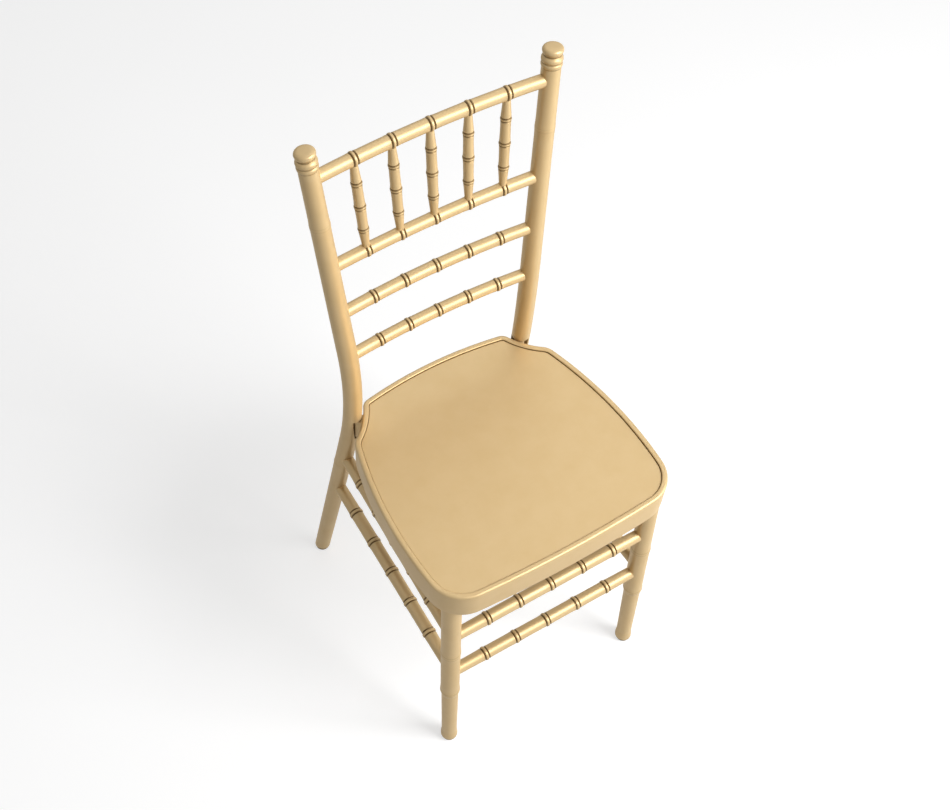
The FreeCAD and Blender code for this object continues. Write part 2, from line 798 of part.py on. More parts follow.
def seat_edges():
    """Front, side, scoop and rear edge on the +X side, and the corners between them, each
    with its rounding."""
    run = size("shoulder_back") + size("seat_wide_front")
    side_radius = run**2 / (2 * (size("seat_half_width") - size("shoulder_half")))
    side_centre = Vector(size("seat_half_width") - side_radius, -size("seat_wide_front"), 0)
    side = EdgeCircle(side_centre, side_radius)
    front_end = -size("seat_front") + size("seat_front_bow")
    lead = front_end - side_centre.y
    front_half = side_centre.x + math.sqrt(side_radius**2 - lead**2)
    front = bowed(front_half, front_end, -size("seat_front"))
    shoulder, corner = scoop_chord(1)
    back = bowed(corner.x, corner.y, size("seat_back"))
    depth = size("scoop_depth")
    half_chord = (corner - shoulder).Length / 2
    scoop_radius = (half_chord**2 + depth**2) / (2 * depth)
    scoop_centre = (shoulder + corner) * 0.5 + lug_way(1) * (scoop_radius - depth)
    scoop = EdgeCircle(scoop_centre, scoop_radius, hollow=True)
    corners = [
        (front, side, Vector(front_half, front_end, 0), size("front_corner_radius")),
        (side, scoop, shoulder, size("shoulder_radius")),
        (scoop, back, corner, size("back_corner_radius")),
    ]
    return front, back, corners


def arc_about(centre, start, end):
    """The short arc from start to end about a centre, with its own middle point."""
    radius = (start - centre).Length
    middle = centre + ((start - centre) + (end - centre)).normalize() * radius
    return Part.Arc(start, middle, end)


def seat_outline(inset):
    """The seat's outline, moved in by a distance, as a level face at Z = 0. Every edge
    keeps its centre, and a corner keeps its centre until it gets too tight."""
    front, back, corners = seat_edges()
    right = []
    for before, after, near, rounding in corners:
        radius = max(rounding - inset, size("least_rounding"))
        one, two = before.moved_in(inset), after.moved_in(inset)
        centre = one.moved_in(radius).meet(two.moved_in(radius), near)
        right.append((centre, one.foot_of(centre), two.foot_of(centre), two.centre))
    first, last = right[0][1], right[-1][2]
    front_middle = Vector(0, inset - size("seat_front"), 0)
    back_middle = Vector(0, size("seat_back") - inset, 0)
    arcs = [Part.Arc(mirrored(first), front_middle, first)]
    for i, (centre, start, end, next_centre) in enumerate(right):
        arcs.append(arc_about(centre, start, end))
        if i + 1 < len(right):
            arcs.append(arc_about(next_centre, end, right[i + 1][1]))
    arcs.append(Part.Arc(last, back_middle, mirrored(last)))
    for i in reversed(range(len(right))):
        centre, start, end, next_centre = right[i]
        if i + 1 < len(right):
            arcs.append(
                arc_about(mirrored(next_centre), mirrored(right[i + 1][1]), mirrored(end))
            )
        arcs.append(arc_about(mirrored(centre), mirrored(end), mirrored(start)))
    return Part.Face(Part.Wire([arc.toShape() for arc in arcs]))


def seat_prism(inset, low, high):
    """The outline moved in and raised from one height to another."""
    outline = seat_outline(inset)
    outline.translate(Vector(0, 0, low))
    return outline.extrude(UP * (high - low))


def level_edges(solid, height):
    """The edges of a solid that lie at a height."""
    return [
        e for e in solid.Edges if abs(e.BoundBox.ZMin - height) + e.BoundBox.ZLength < 1e-3
    ]


def seat_lug(side_name):
    """The block at a rear corner of the seat frame that fills the notch of the post."""
    side = SIDES[side_name]
    way = lug_way(side)
    length = size("wall")
    height = size("skirt_height") - size("lug_top_drop") - size("lug_foot_rise")
    block = Part.makeBox(length, size("lug_width"), height)
    turned = Rotation(Vector(1, 0, 0), way)
    wall = notch_wall(side_name) - way * size("lug_gap")
    wall.z = SEAT_BOTTOM + size("lug_foot_rise")
    across = turned.multVec(Vector(0, 1, 0)) * (size("lug_width") / 2)
    block.Placement = Placement(wall - way * length - across, turned)
    return block


def seat_frame():
    """The rounded skirt with its rebate for the panel, its open middle, the sockets of
    the front legs and the two rear lugs."""
    top = size("seat_top")
    body = seat_prism(0, SEAT_BOTTOM, top)
    body = body.makeFillet(size("rim_rounding"), level_edges(body, top))
    ledge = top - size("panel_drop") - size("panel_thickness")
    reach = size("cut_reach")
    rebate = seat_prism(size("rim_width"), ledge, top + reach)
    middle = seat_prism(size("wall"), SEAT_BOTTOM - reach, top + reach)
    blank = doc.addObject("Part::Feature", "seat_frame_blank")
    lugs = [seat_lug(name) for name in SIDES]
    blank.Shape = body.fuse(lugs).cut(rebate).cut(middle)
    tools = []
    for name, side in SIDES.items():
        foot = leg_axis(side, 0)
        mouth = leg_axis(side, SEAT_BOTTOM)
        inward = (mouth - foot).normalize()
        tools.append(
            cylinder(
                "seat_frame_socket_" + name,
                "Sizes.leg_tenon_radius + Sizes.socket_gap",
                "Sizes.leg_tenon_depth + Sizes.socket_end_gap + Sizes.cut_reach",
                Placement(mouth - inward * reach, Rotation(UP, inward)),
            )
        )
    return cut("seat_frame", blank, tools)


def seat_panel():
    """The flat panel that lies in the rebate, a little lower than the rim."""
    high = size("seat_top") - size("panel_drop")
    inset = size("rim_width") + size("panel_gap")
    panel = doc.addObject("Part::Feature", "seat_panel")
    panel.Shape = seat_prism(inset, high - size("panel_thickness"), high)
    panel.Label = "seat_panel"
    return panel


# Assembly

nodes = []
nodes.append(seat_frame())
nodes.append(seat_panel())
for side_name, side in SIDES.items():
    nodes.append(back_post(side_name))
    nodes.append(front_leg(side_name))
    nodes.append(glide("glide_front_" + side_name, leg_axis(side, 0)))
    nodes.append(glide("glide_rear_" + side_name, posts[side_name].at(size("glide_height"))))
for rail in back_rails:
    nodes.append(back_rail(rail))
for bar in spindles:
    nodes.append(spindle(bar))
for bar in front_stretchers + side_stretchers["left"] + side_stretchers["right"]:
    nodes.append(stretcher(bar))

doc.recompute()

# Checks before anything is written

for item in doc.Objects:
    if "Invalid" in item.State or "Error" in item.State:
        raise RuntimeError("%s failed: %s" % (item.Label, item.State))
for node in nodes:
    if node.Shape.isNull() or not node.Shape.isValid():
        raise RuntimeError("%s has no valid shape" % node.Label)
    if len(node.Shape.Solids) != 1:
        raise RuntimeError("%s has %d solids" % (node.Label, len(node.Shape.Solids)))

# One file for each piece

os.makedirs("parts", exist_ok=True)
for node in nodes:
    node.Shape.exportStep("parts/%s.step" % node.Label)
    print("%s: %.1f cm3" % (node.Label, node.Shape.Volume / 1000))
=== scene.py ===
"""A chiavari chair dressed for the studio: smooth turned pieces in gold paint on a white floor."""

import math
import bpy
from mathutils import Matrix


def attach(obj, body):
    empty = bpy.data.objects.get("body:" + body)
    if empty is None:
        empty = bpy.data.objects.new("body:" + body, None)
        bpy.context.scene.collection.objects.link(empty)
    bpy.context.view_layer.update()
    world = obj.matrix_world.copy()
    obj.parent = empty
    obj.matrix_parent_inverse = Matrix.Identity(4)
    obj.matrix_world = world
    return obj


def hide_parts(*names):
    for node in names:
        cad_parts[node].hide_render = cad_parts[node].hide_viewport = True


bl_info = {
    "name": "Chiavari chair",
    "version": (1, 0, 0),
    "blender": (4, 5, 0),
    "location": "3D View > Sidebar > Chair",
    "description": "Bamboo-turned banquet chair in satin gold paint, with its floor and soft light",
    "category": "Add Mesh",
}

import bpy
import numpy as np

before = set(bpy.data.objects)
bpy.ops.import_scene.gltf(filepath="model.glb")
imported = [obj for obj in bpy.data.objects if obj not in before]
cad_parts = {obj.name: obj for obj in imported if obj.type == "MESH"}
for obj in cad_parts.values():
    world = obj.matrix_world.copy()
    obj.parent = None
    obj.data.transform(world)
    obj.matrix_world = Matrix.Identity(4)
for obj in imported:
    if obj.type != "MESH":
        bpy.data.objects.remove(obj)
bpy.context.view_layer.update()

SIDES = {"left": -1.0, "right": 1.0}
NODES_PER_RAIL = 5
NODE_STEPS = np.arange(NODES_PER_RAIL) - (NODES_PER_RAIL - 1) / 2.0
PHOTO_WIDTH = 950
PHOTO_HEIGHT = 810
UP = np.array([0.0, 0.0, 1.0])
RIGHT = np.array([1.0, 0.0, 0.0])


# Kinds of setting


def setting(kind, **fixed):
    """A kind of setting, made with one text for its name and description."""

    def made(text, default, **more):
        return kind(name=text, description=text, default=default, **{**fixed, **more})

    return made


length = setting(bpy.props.FloatProperty, min=0.0, unit="LENGTH", precision=5)
number = setting(bpy.props.FloatProperty, min=0.0, max=1.0)
place = setting(bpy.props.FloatVectorProperty, size=3, subtype="TRANSLATION")
colour = setting(bpy.props.FloatVectorProperty, size=3, subtype="COLOR", min=0.0, max=1.0)
lamp = setting(bpy.props.FloatVectorProperty, size=5)


# Settings


class ChairPosture(bpy.types.PropertyGroup):
    """Where the legs and posts stand. Sideways values are for the right-hand side."""

    front_foot: place("Front leg axis at the floor", (0.1645, -0.1965, 0.0))
    front_top: place("Front leg axis under the seat", (0.159, -0.170, 0.400))
    rear_foot: place("Rear post axis at the floor", (0.1705, 0.1975, 0.0))
    post_bend: place("Where the post's straight runs would cross", (0.1332, 0.115, 0.484))
    post_knob: place("Post axis at the widest ring of the knob", (0.1595, 0.1585, 0.906))
    bend_radius: length("Radius of the bend on the post axis", 0.690)


class PostSizes(bpy.types.PropertyGroup):
    """Radii of the posts and front legs, and their turned rings above the floor."""

    post_radius: length("Post at the seat", 0.0131)
    post_foot_radius: length("Post at the floor", 0.0121)
    post_neck_radius: length("Post under the finial", 0.0118)
    post_ring_low: length("Turned ring of the rear leg", 0.312)
    post_ring_high: length("Turned ring of the post", 0.805)
    finial_drop: length("Knob's widest ring down to the finial's foot", 0.028)
    leg_radius: length("Front leg above its lower ring", 0.0137)
    leg_ankle_radius: length("Front leg at its thinnest", 0.0115)
    leg_foot_radius: length("Front leg at the foot", 0.0127)
    leg_ring_low: length("Lower ring of the front leg", 0.158)
    leg_ring_high: length("Upper ring of the front leg", 0.270)
    glide_radius: length("Radius of a glide", 0.011)
    glide_height: length("Height of a glide", 0.004)


class RailSizes(bpy.types.PropertyGroup):
    """Back rails, spindles and stretchers. Heights are above the floor."""

    rail_radius: length("Radius of a back rail", 0.0081)
    top_height: length("Top rail", 0.869)
    spindle_height: length("Spindle rail", 0.734)
    upper_height: length("Upper plain rail", 0.654)
    lower_height: length("Lower plain rail", 0.575)
    top_bow: length("How far the top rail bows back", 0.008)
    spindle_bow: length("How far the spindle rail bows back", 0.006)
    plain_bow: length("How far the plain rails bow back", 0.0075)
    stretcher_radius: length("Stretcher between its nodes", 0.0093)
    stretcher_end: length("Stretcher where it enters a leg", 0.0088)
    front_upper: length("Upper front stretcher", 0.309)
    front_lower: length("Lower front stretcher", 0.207)
    side_upper_front: length("Upper side stretcher at the front leg", 0.320)
    side_upper_rear: length("Upper side stretcher at the rear post", 0.331)
    side_lower_front: length("Lower side stretcher at the front leg", 0.2215)
    side_lower_rear: length("Lower side stretcher at the rear post", 0.237)
    sink: length("How far a bar goes into what carries it", 0.007)
    spindle_radius: length("Spindle at its middle node", 0.0066)
    spindle_end: length("Spindle where it enters a rail", 0.0046)
    pitches: number("Node pitches from post axis to post axis", 6.2, max=20.0)


class BambooSizes(bpy.types.PropertyGroup):
    """The turned node: a swelling with a rounded band between two cut grooves."""

    swell: length("Swelling over the bar at the node", 0.0006)
    reach: length("Where the swelling dies away", 0.0052)
    band: length("Crown of the band between the grooves", 0.0005)
    groove_depth: length("Cut of a groove", 0.0013)
    groove_half: length("Half of a groove's width", 0.00145)
    stretcher_gap: length("Between the grooves of a stretcher", 0.0063)
    rail_gap: length("Between the grooves of a back rail", 0.0055)
    spindle_gap: length("Between the grooves of a spindle", 0.0040)


class SeatSizes(bpy.types.PropertyGroup):
    """Outline and section of the seat."""

    top: length("Rim of the seat above the floor", 0.447)
    skirt: length("Seat frame, top to bottom", 0.047)
    front: length("Middle of the front edge ahead of the origin", 0.2025)
    front_bow: length("How far the front edge bows out", 0.008)
    half_width: length("Widest point of the seat to the middle", 0.1848)
    wide_front: length("Widest point ahead of the origin", 0.095)
    shoulder_half: length("Rear end of the side to the middle", 0.1585)
    shoulder_back: length("Rear end of the side behind the origin", 0.084)
    scoop_depth: length("Hollow that clears the post", 0.005)
    corner_half: length("Rear corner to the middle", 0.115)
    back: length("Middle of the rear edge behind the origin", 0.1465)
    back_bow: length("How far the rear edge bows out", 0.011)
    front_rounding: length("Rounding of the front corners", 0.052)
    shoulder_rounding: length("Rounding where side meets scoop", 0.026)
    back_rounding: length("Rounding where scoop meets back", 0.015)
    least_rounding: length("Tightest corner inside the frame", 0.005)
    rim_rounding: length("Rounding of the rim's outer edge", 0.0035)
    rim_width: length("Flat rim round the panel", 0.008)
    wall: length("Seat frame rail, outside to inside", 0.028)
    panel_drop: length("Rim down to the top of the panel", 0.0025)
    panel_thickness: length("Seat panel", 0.006)
    panel_gap: length("Panel edge to frame", 0.0003)
    lug_width: length("Lug across", 0.014)
    lug_top_drop: length("Rim down to the top of the lug", 0.007)
    lug_foot_rise: length("Underside of the frame up to the lug", 0.003)
    notch_depth: length("Notch into the post at the rim", 0.0098)
    notch_drop: length("Rim down to the top of the notch", 0.003)
    notch_below: length("Notch below the frame", 0.0015)


class PaintSettings(bpy.types.PropertyGroup):
    """The gold paint and the glides."""

    gold: colour("Paint in full light", (0.70, 0.512, 0.268))
    gold_deep: colour("Paint where the coat is thicker", (0.64, 0.445, 0.205))
    # This colour is painted shade: grooves, cuts, the gap round the panel, the post's notch and the
    # feet's lower edge are darkened towards it where shade falls.
    painted_shade_tone: colour("Painted shade in grooves, gaps and notch, and under feet", (0.13, 0.068, 0.016))
    gloss_tint: colour("Tint of the gloss", (1.0, 0.93, 0.78))
    metal: number("How metallic the paint is", 0.38)
    roughness: number("Roughness of the satin coat", 0.43)
    gloss: number("Strength of the gloss", 0.40)
    glide_tone: colour("Plastic of the glides", (0.26, 0.19, 0.10))


class StudioSettings(bpy.types.PropertyGroup):
    """Floor, room, lamps and camera. Angles are in radians."""

    floor_tone: colour("Floor as it lights the chair", (0.20, 0.20, 0.20))
    seen_tone: colour("Floor as the camera sees it", (0.50, 0.50, 0.50))
    floor_glow: number("Floor's least glow to the camera", 0.652)
    floor_size: length("Edge of the floor", 16.0)
    world_strength: number("Strength of the room's light", 0.15, max=5.0)
    room_seen: number("Strength of the room to the camera", 0.92, max=5.0)
    lamp_target: place("Where the lamps point", (0.0, 0.0, 0.45))
    key_lamp: lamp("Main lamp: place, watts, edge", (1.14, -1.63, 2.12, 68.0, 1.3))
    side_lamp: lamp("Low lamp: place, watts, edge", (1.75, -1.30, 0.62, 14.0, 0.9))
    sky_lamp: lamp("High lamp behind: place, watts, edge", (0.85, 1.10, 2.55, 6.0, 1.8))
    camera_place: place("Where the camera stands", (-0.598, -0.7817, 1.9074))
    camera_yaw: number("Camera's turn from +Y towards +X", 0.5359, max=7.0)
    camera_pitch: number("Camera's look below the horizon", 1.0437, max=2.0)
    focal_pixels: number("Focal length in pixels", 1300.0, max=9000.0)
    middle_across: number("Optical middle, pixels from the left", 401.3, max=9000.0)
    middle_down: number("Optical middle, pixels from the top", 518.5, max=9000.0)


# Surfaces


def unit(vectors):
    """Each vector over its own length."""
    return vectors / np.linalg.norm(vectors, axis=-1, keepdims=True)


def round_angles(count):
    """Even angles of a full turn."""
    return np.linspace(0.0, 2.0 * math.pi, count, endpoint=False)


def fade(distance):
    """One at distance 0, nothing from distance 1 on: (1 - d squared) squared."""
    return np.clip(1.0 - distance**2, 0.0, None) ** 2


def bar_rings(centres, ways, cuts, radii, around):
    """Rings carried along a path, as an array of rows by points by 3, and their rays.

    Each ring lies square to its cut. A point stands off the path by the radius over the
    length of the cross product of its ray and the path's way, so a ring that is cut askew
    still lies on the round bar.
    """
    ways = np.broadcast_to(ways, centres.shape)
    cuts = np.broadcast_to(cuts, centres.shape)
    angles = round_angles(around)
    steep = 0.7
    side = np.where(np.abs(cuts[:, 2:]) < steep, UP, RIGHT)
    across = unit(side - cuts * np.sum(side * cuts, axis=1, keepdims=True))
    up = np.cross(cuts, across)
    rays = (
        np.cos(angles)[None, :, None] * across[:, None, :]
        + np.sin(angles)[None, :, None] * up[:, None, :]
    )
    lean = np.linalg.norm(np.cross(rays, ways[:, None, :]), axis=2)
    return centres[:, None, :] + rays * (radii[:, None] / lean)[:, :, None], rays


def straight_frame(run, radii, around):
    """Coordinates of a bar's points as if it were unbent: across, across, and the run."""
    angles = round_angles(around)
    flat = [np.multiply.outer(radii, turn(angles)) for turn in (np.cos, np.sin)]
    return np.stack([*flat, np.broadcast_to(run[:, None], flat[0].shape)], axis=2)


class Shell:
    """One closed surface: rings of points, how much painted shade (hollow) it takes at each, and
    the paint's own coordinates, which are the points unless others are given."""

    def __init__(self, rings, hollow=0.0, grain=None, closed=False):
        self.rings = rings
        self.hollow = np.broadcast_to(hollow, rings.shape[:2])
        self.grain = rings if grain is None else grain
        self.closed = closed

    def arrays(self):
        """Points, paint coordinates, hollows, and faces: quads between neighbouring rings
        and a fan to a middle point at both open ends."""
        rows, around = self.rings.shape[:2]
        points, grain = self.rings.reshape(-1, 3), self.grain.reshape(-1, 3)
        hollow = self.hollow.reshape(-1)
        spot = np.arange(around)
        step = (spot + 1) % around
        first = np.arange(rows if self.closed else rows - 1)[:, None] * around
        second = (first + around) % len(points)
        quads = np.stack([first + spot, first + step, second + step, second + spot], axis=2)
        quads = quads.reshape(-1, 4)
        if self.closed:
            return points, grain, hollow, [quads]
        last = (rows - 1) * around
        fans = [(len(points), step, spot), (len(points) + 1, last + spot, last + step)]
        fans = [np.stack(np.broadcast_arrays(*fan), axis=1) for fan in fans]
        points = np.concatenate([points, self.rings[[0, -1]].mean(axis=1)])
        grain = np.concatenate([grain, self.grain[[0, -1]].mean(axis=1)])
        return points, grain, np.append(hollow, [0.0, 0.0]), [quads, *fans]


def turned_shell(centres, ways, cuts, run, radii, hollow, around):
    """A round bar with its own radius and painted shade (hollow) at each station of its run."""
    rings, _ = bar_rings(centres, ways, cuts, radii, around)
    return Shell(rings, hollow[:, None], straight_frame(run, radii, around))


def build_piece(node, suffix, shells, material, sharp=35.0):
    """Shells to one mesh object in place of a CAD node."""
    name = node + suffix
    points, grains, hollows, faces = [], [], [], []
    for shell in shells:
        base = sum(map(len, points))
        spots, grain, hollow, groups = shell.arrays()
        points.append(spots)
        grains.append(grain + [hash_share(name, k) for k in range(3)])
        hollows.append(hollow)
        faces += [face for group in groups for face in (group + base).tolist()]
    mesh = bpy.data.meshes.new(name)
    mesh.from_pydata(np.concatenate(points), [], faces)
    mesh.validate()
    mesh.shade_smooth()
    grain = mesh.attributes.new("grain", "FLOAT_VECTOR", "POINT")
    grain.data.foreach_set("vector", np.concatenate(grains).ravel())
    # The hollow attribute carries painted shade, for the gold paint to darken grooves, gaps, the
    # notch and the feet.
    hollow = mesh.attributes.new("hollow", "FLOAT", "POINT")
    hollow.data.foreach_set("value", np.concatenate(hollows))
    mesh.set_sharp_from_angle(angle=math.radians(sharp))
    mesh.materials.append(material)
    piece = bpy.data.objects.new(name, mesh)
    bpy.context.scene.collection.objects.link(piece)
    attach(piece, "root")
    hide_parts(node)


def paint_piece(scene, node, shells, sharp=35.0):
    """Shells in gold paint in place of a CAD node."""
    paint = bpy.data.materials.get("gold_paint") or gold_paint(scene.chair_paint)
    build_piece(node, "_paint", shells, paint, sharp)


def hash_share(name, k):
    """A steady number from 0 to 1 by a piece's name, so that no two share their grain."""
    total = sum((i + 1) * ord(letter) for i, letter in enumerate(name))
    return math.modf(math.sin(total * 12.9898 + k * 78.233) * 43758.5453)[0] ** 2


# Where bars run


def mirrored(spot, side):
    """A right-hand place on its own side of the chair."""
    return np.array(spot) * np.array([side, 1.0, 1.0])


def leg_line(posture, side):
    """Foot and top of a front leg's axis."""
    return mirrored(posture.front_foot, side), mirrored(posture.front_top, side)


def on_line(start, end, heights):
    """Points of a straight axis at heights above the floor."""
    part = (heights - start[2]) / (end[2] - start[2])
    return start + np.multiply.outer(part, end - start)


def post_path(posture, side, heights):
    """Points and ways of a post's axis at heights.

    It is straight, an arc that touches both straight runs, and straight again, and is read
    off a fine list of points by height.
    """
    foot = mirrored(posture.rear_foot, side)
    bend = mirrored(posture.post_bend, side)
    knob = mirrored(posture.post_knob, side)
    up = unit(knob - bend)
    down = unit(foot - bend)
    half = 0.5 * math.acos(up @ down)
    run = posture.bend_radius / math.tan(half)
    centre = bend + unit(up + down) * posture.bend_radius / math.sin(half)
    out = unit(bend + down * run - centre)
    angles = np.linspace(0.0, math.pi - 2.0 * half, 240)[:, None]
    arc = centre + posture.bend_radius * (np.cos(angles) * out - np.sin(angles) * down)
    arc_way = -np.sin(angles) * out - np.cos(angles) * down
    over_knob = 0.03
    points = np.concatenate([foot[None], arc, (knob + up * over_knob)[None]])
    ways = np.concatenate([-down[None], arc_way, up[None]])
    spots, headings = (
        np.stack([np.interp(heights, points[:, 2], row[:, k]) for k in range(3)], axis=-1)
        for row in (points, ways)
    )
    return spots, unit(headings)


def post_radius(posts, heights):
    """The post tapers evenly from the seat to its foot and to its neck."""
    floor, middle_low, middle_high, neck = 0.0, 0.377, 0.592, 0.878
    levels = [floor, middle_low, middle_high, neck]
    radii = [posts.post_foot_radius, posts.post_radius, posts.post_radius, posts.post_neck_radius]
    return np.interp(heights, levels, radii)


def leg_radius(posts, heights):
    """Foot, ankle, a slow growth, a step up at the low ring and a steady upper leg."""
    foot_end, ankle_start = 0.012, 0.024
    step_low, step_high = posts.leg_ring_low - 0.009, posts.leg_ring_low - 0.001
    growth = 0.0009
    foot, ankle = posts.leg_foot_radius, posts.leg_ankle_radius
    levels = [foot_end, ankle_start, step_low, step_high]
    return np.interp(heights, levels, [foot, ankle, ankle + growth, posts.leg_radius])


def foot_rounding(heights, foot):
    """How far a foot is rounded in, and how much painted shade darkens its lower edge, at heights.
    """
    rounding, rounding_reach = 0.0018, 0.003
    darkest, dark_full, dark_reach = 0.85, 0.8, 0.0026
    above = heights - foot
    inward = rounding * np.clip(1.0 - above / rounding_reach, 0.0, 1.0) ** 2
    # Painted shade: the lowest few millimetres of a foot are darkened as the floor's contact
    # shadow.
    painted_foot_shade = darkest * np.clip(1.0 + dark_full - above / dark_reach, 0.0, 1.0)
    return inward, painted_foot_shade


def turned_rings(heights, places, swell, reach, gap, half, depth):
    """Rise of a post or leg at its turned rings, and how deep in a cut each height is.

    A ring swells up within its reach, with a fine cut at the gap to both sides of its
    middle."""
    away = np.abs(heights[:, None] - np.array(places))
    cut = fade((away - gap) / half)
    rise = (swell * np.exp(-((away / reach) ** 2))).sum(axis=1) - depth * cut.sum(axis=1)
    return rise, cut.max(axis=1)


def rail_arc(posture, height, bow):
    """Half span, radius and centre of a bowed back rail: the circle through both posts'
    axes whose middle stands back by the bow."""
    end = post_path(posture, 1.0, height)[0]
    half = end[0]
    radius = (half**2 + bow**2) / (2.0 * bow)
    return half, radius, np.array([0.0, end[1] + bow - radius, height])


def on_arc(radius, centre, across):
    """Points of a rail's arc at distances from the middle, and its way there."""
    back = np.sqrt(radius**2 - across**2)
    level = np.zeros_like(across)
    points = centre + np.stack([across, back, level], axis=-1)
    return points, unit(np.stack([back, -across, level], axis=-1))


# Bamboo nodes


def dense_run(start, end, places, reach, coarse=0.006, fine=0.00033):
    """Stations along a bar: evenly coarse, and fine about each node."""
    steps = [np.linspace(start, end, max(int((end - start) / coarse), 2))]
    steps += [np.arange(spot - reach, spot + reach, fine) for spot in places]
    run = np.unique(np.concatenate(steps))
    return run[(run >= start) & (run <= end)]


def node_shape(bamboo, run, places, gap, scale=1.0):
    """Rise of the bar and painted shade (hollow) of its grooves along a run.

    Each node swells up as a bell and has a rounded band between its two grooves. The painted
    shade of a groove is a little wider than its cut.
    """
    away = np.abs(run[:, None] - places)
    half = gap / 2.0
    dark_width = 1.35
    swell = bamboo.swell * np.exp(-((away / bamboo.reach) ** 2))
    band = bamboo.band * np.clip(1.0 - (away / half) ** 2, 0.0, None)
    cut = fade((away - half) / bamboo.groove_half)
    rise = (swell + band - bamboo.groove_depth * cut).sum(axis=1) * scale
    hollow = fade((away - half) / (dark_width * bamboo.groove_half)).max(axis=1)
    return rise, hollow


def straight_bar(start, end, run, radii, hollow, around):
    """A round bar from start to end with its own radius at each station of the run."""
    way = unit(end - start)
    centres = start + np.multiply.outer(run, way)
    return turned_shell(centres, way, way, run, radii, hollow, around)


# Seat outline


class EdgeArcs:
    """One bowed edge of the seat as a fan of circles about one centre, one for each inset.
    Inward is 1 where the seat lies inside the circle and -1 where the edge is hollow."""

    def __init__(self, centre, radius, inward=1.0):
        self.centre = centre
        self.radius = radius
        self.inward = inward

    def moved(self, inset):
        return EdgeArcs(self.centre, self.radius - self.inward * inset, self.inward)

    def foot(self, points):
        """The circles' points on the rays from their centre through each point."""
        return self.centre + unit(points - self.centre) * self.radius[:, None]

    def meeting(self, other, near):
        """Where two circles cross, on the side that is nearer to a point."""
        across = other.centre - self.centre
        gap = np.linalg.norm(across)
        way = across / gap
        part = (self.radius**2 - other.radius**2 + gap**2) / (2.0 * gap)
        rise = np.sqrt(self.radius**2 - part**2)
        square = np.array([-way[1], way[0]])
        middle = self.centre + np.multiply.outer(part, way)
        side = np.sign((near - self.centre) @ square)
        return middle + np.multiply.outer(side * rise, square)


def bowed_edge(end_half, end_y, middle_y):
    """The circle through the middle of an edge and both its ends."""
    bow = middle_y - end_y
    reach = (end_half**2 + bow**2) / (2.0 * bow)
    return EdgeArcs(np.array([0.0, middle_y - reach]), abs(reach))


def scoop_line(seat):
    """Sharp ends of the right-hand scoop and the way square out of it."""
    shoulder = np.array([seat.shoulder_half, seat.shoulder_back])
    corner = np.array([seat.corner_half, seat.back - seat.back_bow])
    run = unit(corner - shoulder)
    return shoulder, corner, np.array([run[1], -run[0]])


def arc_run(centre, start, end, steps):
    """Points at even angles on the short arc from start up to, but not at, the end."""
    first = np.arctan2(*(start - centre).T[::-1])
    last = np.arctan2(*(end - centre).T[::-1])
    turn = (last - first + math.pi) % (2.0 * math.pi) - math.pi
    angles = first[:, None] + turn[:, None] * (np.arange(steps) / steps)
    radius = np.linalg.norm(start - centre, axis=-1)[:, None]
    centre = np.broadcast_to(centre, start.shape)
    return centre[:, None, :] + np.stack([radius * np.cos(angles), radius * np.sin(angles)], axis=2)


def seat_lines(seat, insets):
    """The seat's outline moved in by each inset: rows of points, counter-clockwise.

    Each edge keeps its centre and its radius changes by the inset. Each corner is an arc
    that touches its two edges, with its rounding less the inset and never under the least.
    """
    run = seat.shoulder_back + seat.wide_front
    side_radius = run**2 / (2.0 * (seat.half_width - seat.shoulder_half))
    side_centre = np.array([seat.half_width - side_radius, -seat.wide_front])
    side = EdgeArcs(side_centre, side_radius)
    front_end = seat.front_bow - seat.front
    front_half = side_centre[0] + math.sqrt(side_radius**2 - (front_end - side_centre[1]) ** 2)
    front = bowed_edge(front_half, front_end, -seat.front)
    shoulder, corner, out = scoop_line(seat)
    back = bowed_edge(corner[0], corner[1], seat.back)
    half_chord = np.linalg.norm(corner - shoulder) / 2.0
    scoop_radius = (half_chord**2 + seat.scoop_depth**2) / (2.0 * seat.scoop_depth)
    scoop_centre = (shoulder + corner) / 2.0 + out * (scoop_radius - seat.scoop_depth)
    scoop = EdgeArcs(scoop_centre, scoop_radius, inward=-1.0)
    front_end = np.array([front_half, front_end])
    # Each corner: edge before, edge after, sharp point, rounding, steps before and on it
    corners = [
        (front, side, front_end, seat.front_rounding, 18, 26),
        (side, scoop, shoulder, seat.shoulder_rounding, 30, 12),
        (scoop, back, corner, seat.back_rounding, 14, 12),
    ]
    back_steps = 18
    nothing = np.zeros_like(insets)
    spot = np.stack([nothing, insets - seat.front], axis=1)
    back_middle = np.stack([nothing, seat.back - insets], axis=1)
    runs = []
    for before, after, near, rounding, edge_steps, steps in corners:
        radius = np.maximum(rounding - insets, seat.least_rounding)
        one, two = before.moved(insets), after.moved(insets)
        centre = one.moved(radius).meeting(two.moved(radius), near)
        start, end = one.foot(centre), two.foot(centre)
        runs.append(arc_run(before.centre, spot, start, edge_steps))
        runs.append(arc_run(centre, start, end, steps))
        spot = end
    runs.append(arc_run(back.centre, spot, back_middle, back_steps))
    right = np.concatenate(runs, axis=1)
    left = np.concatenate([back_middle[:, None], right[:, :0:-1]], axis=1)
    left = left * np.array([-1.0, 1.0])
    return np.concatenate([right, left], axis=1)


def section_rings(seat, section):
    """The outline at every inset of a section, each lifted to its height."""
    insets, heights = np.array(section).T
    return lifted(seat_lines(seat, insets), heights)


def lifted(lines, heights):
    """Flat rows of points, each row lifted to its height."""
    lift = np.broadcast_to(heights[:, None, None], lines.shape[:2] + (1,))
    return np.concatenate([lines, lift], axis=2)


def rounded_turn(middle, radius, first, last, steps=7):
    """Points of a section's rounded corner: even angles about its middle, in degrees."""
    angles = np.radians(np.linspace(first, last, steps))
    return [(middle[0] - radius * math.cos(a), middle[1] + radius * math.sin(a)) for a in angles]


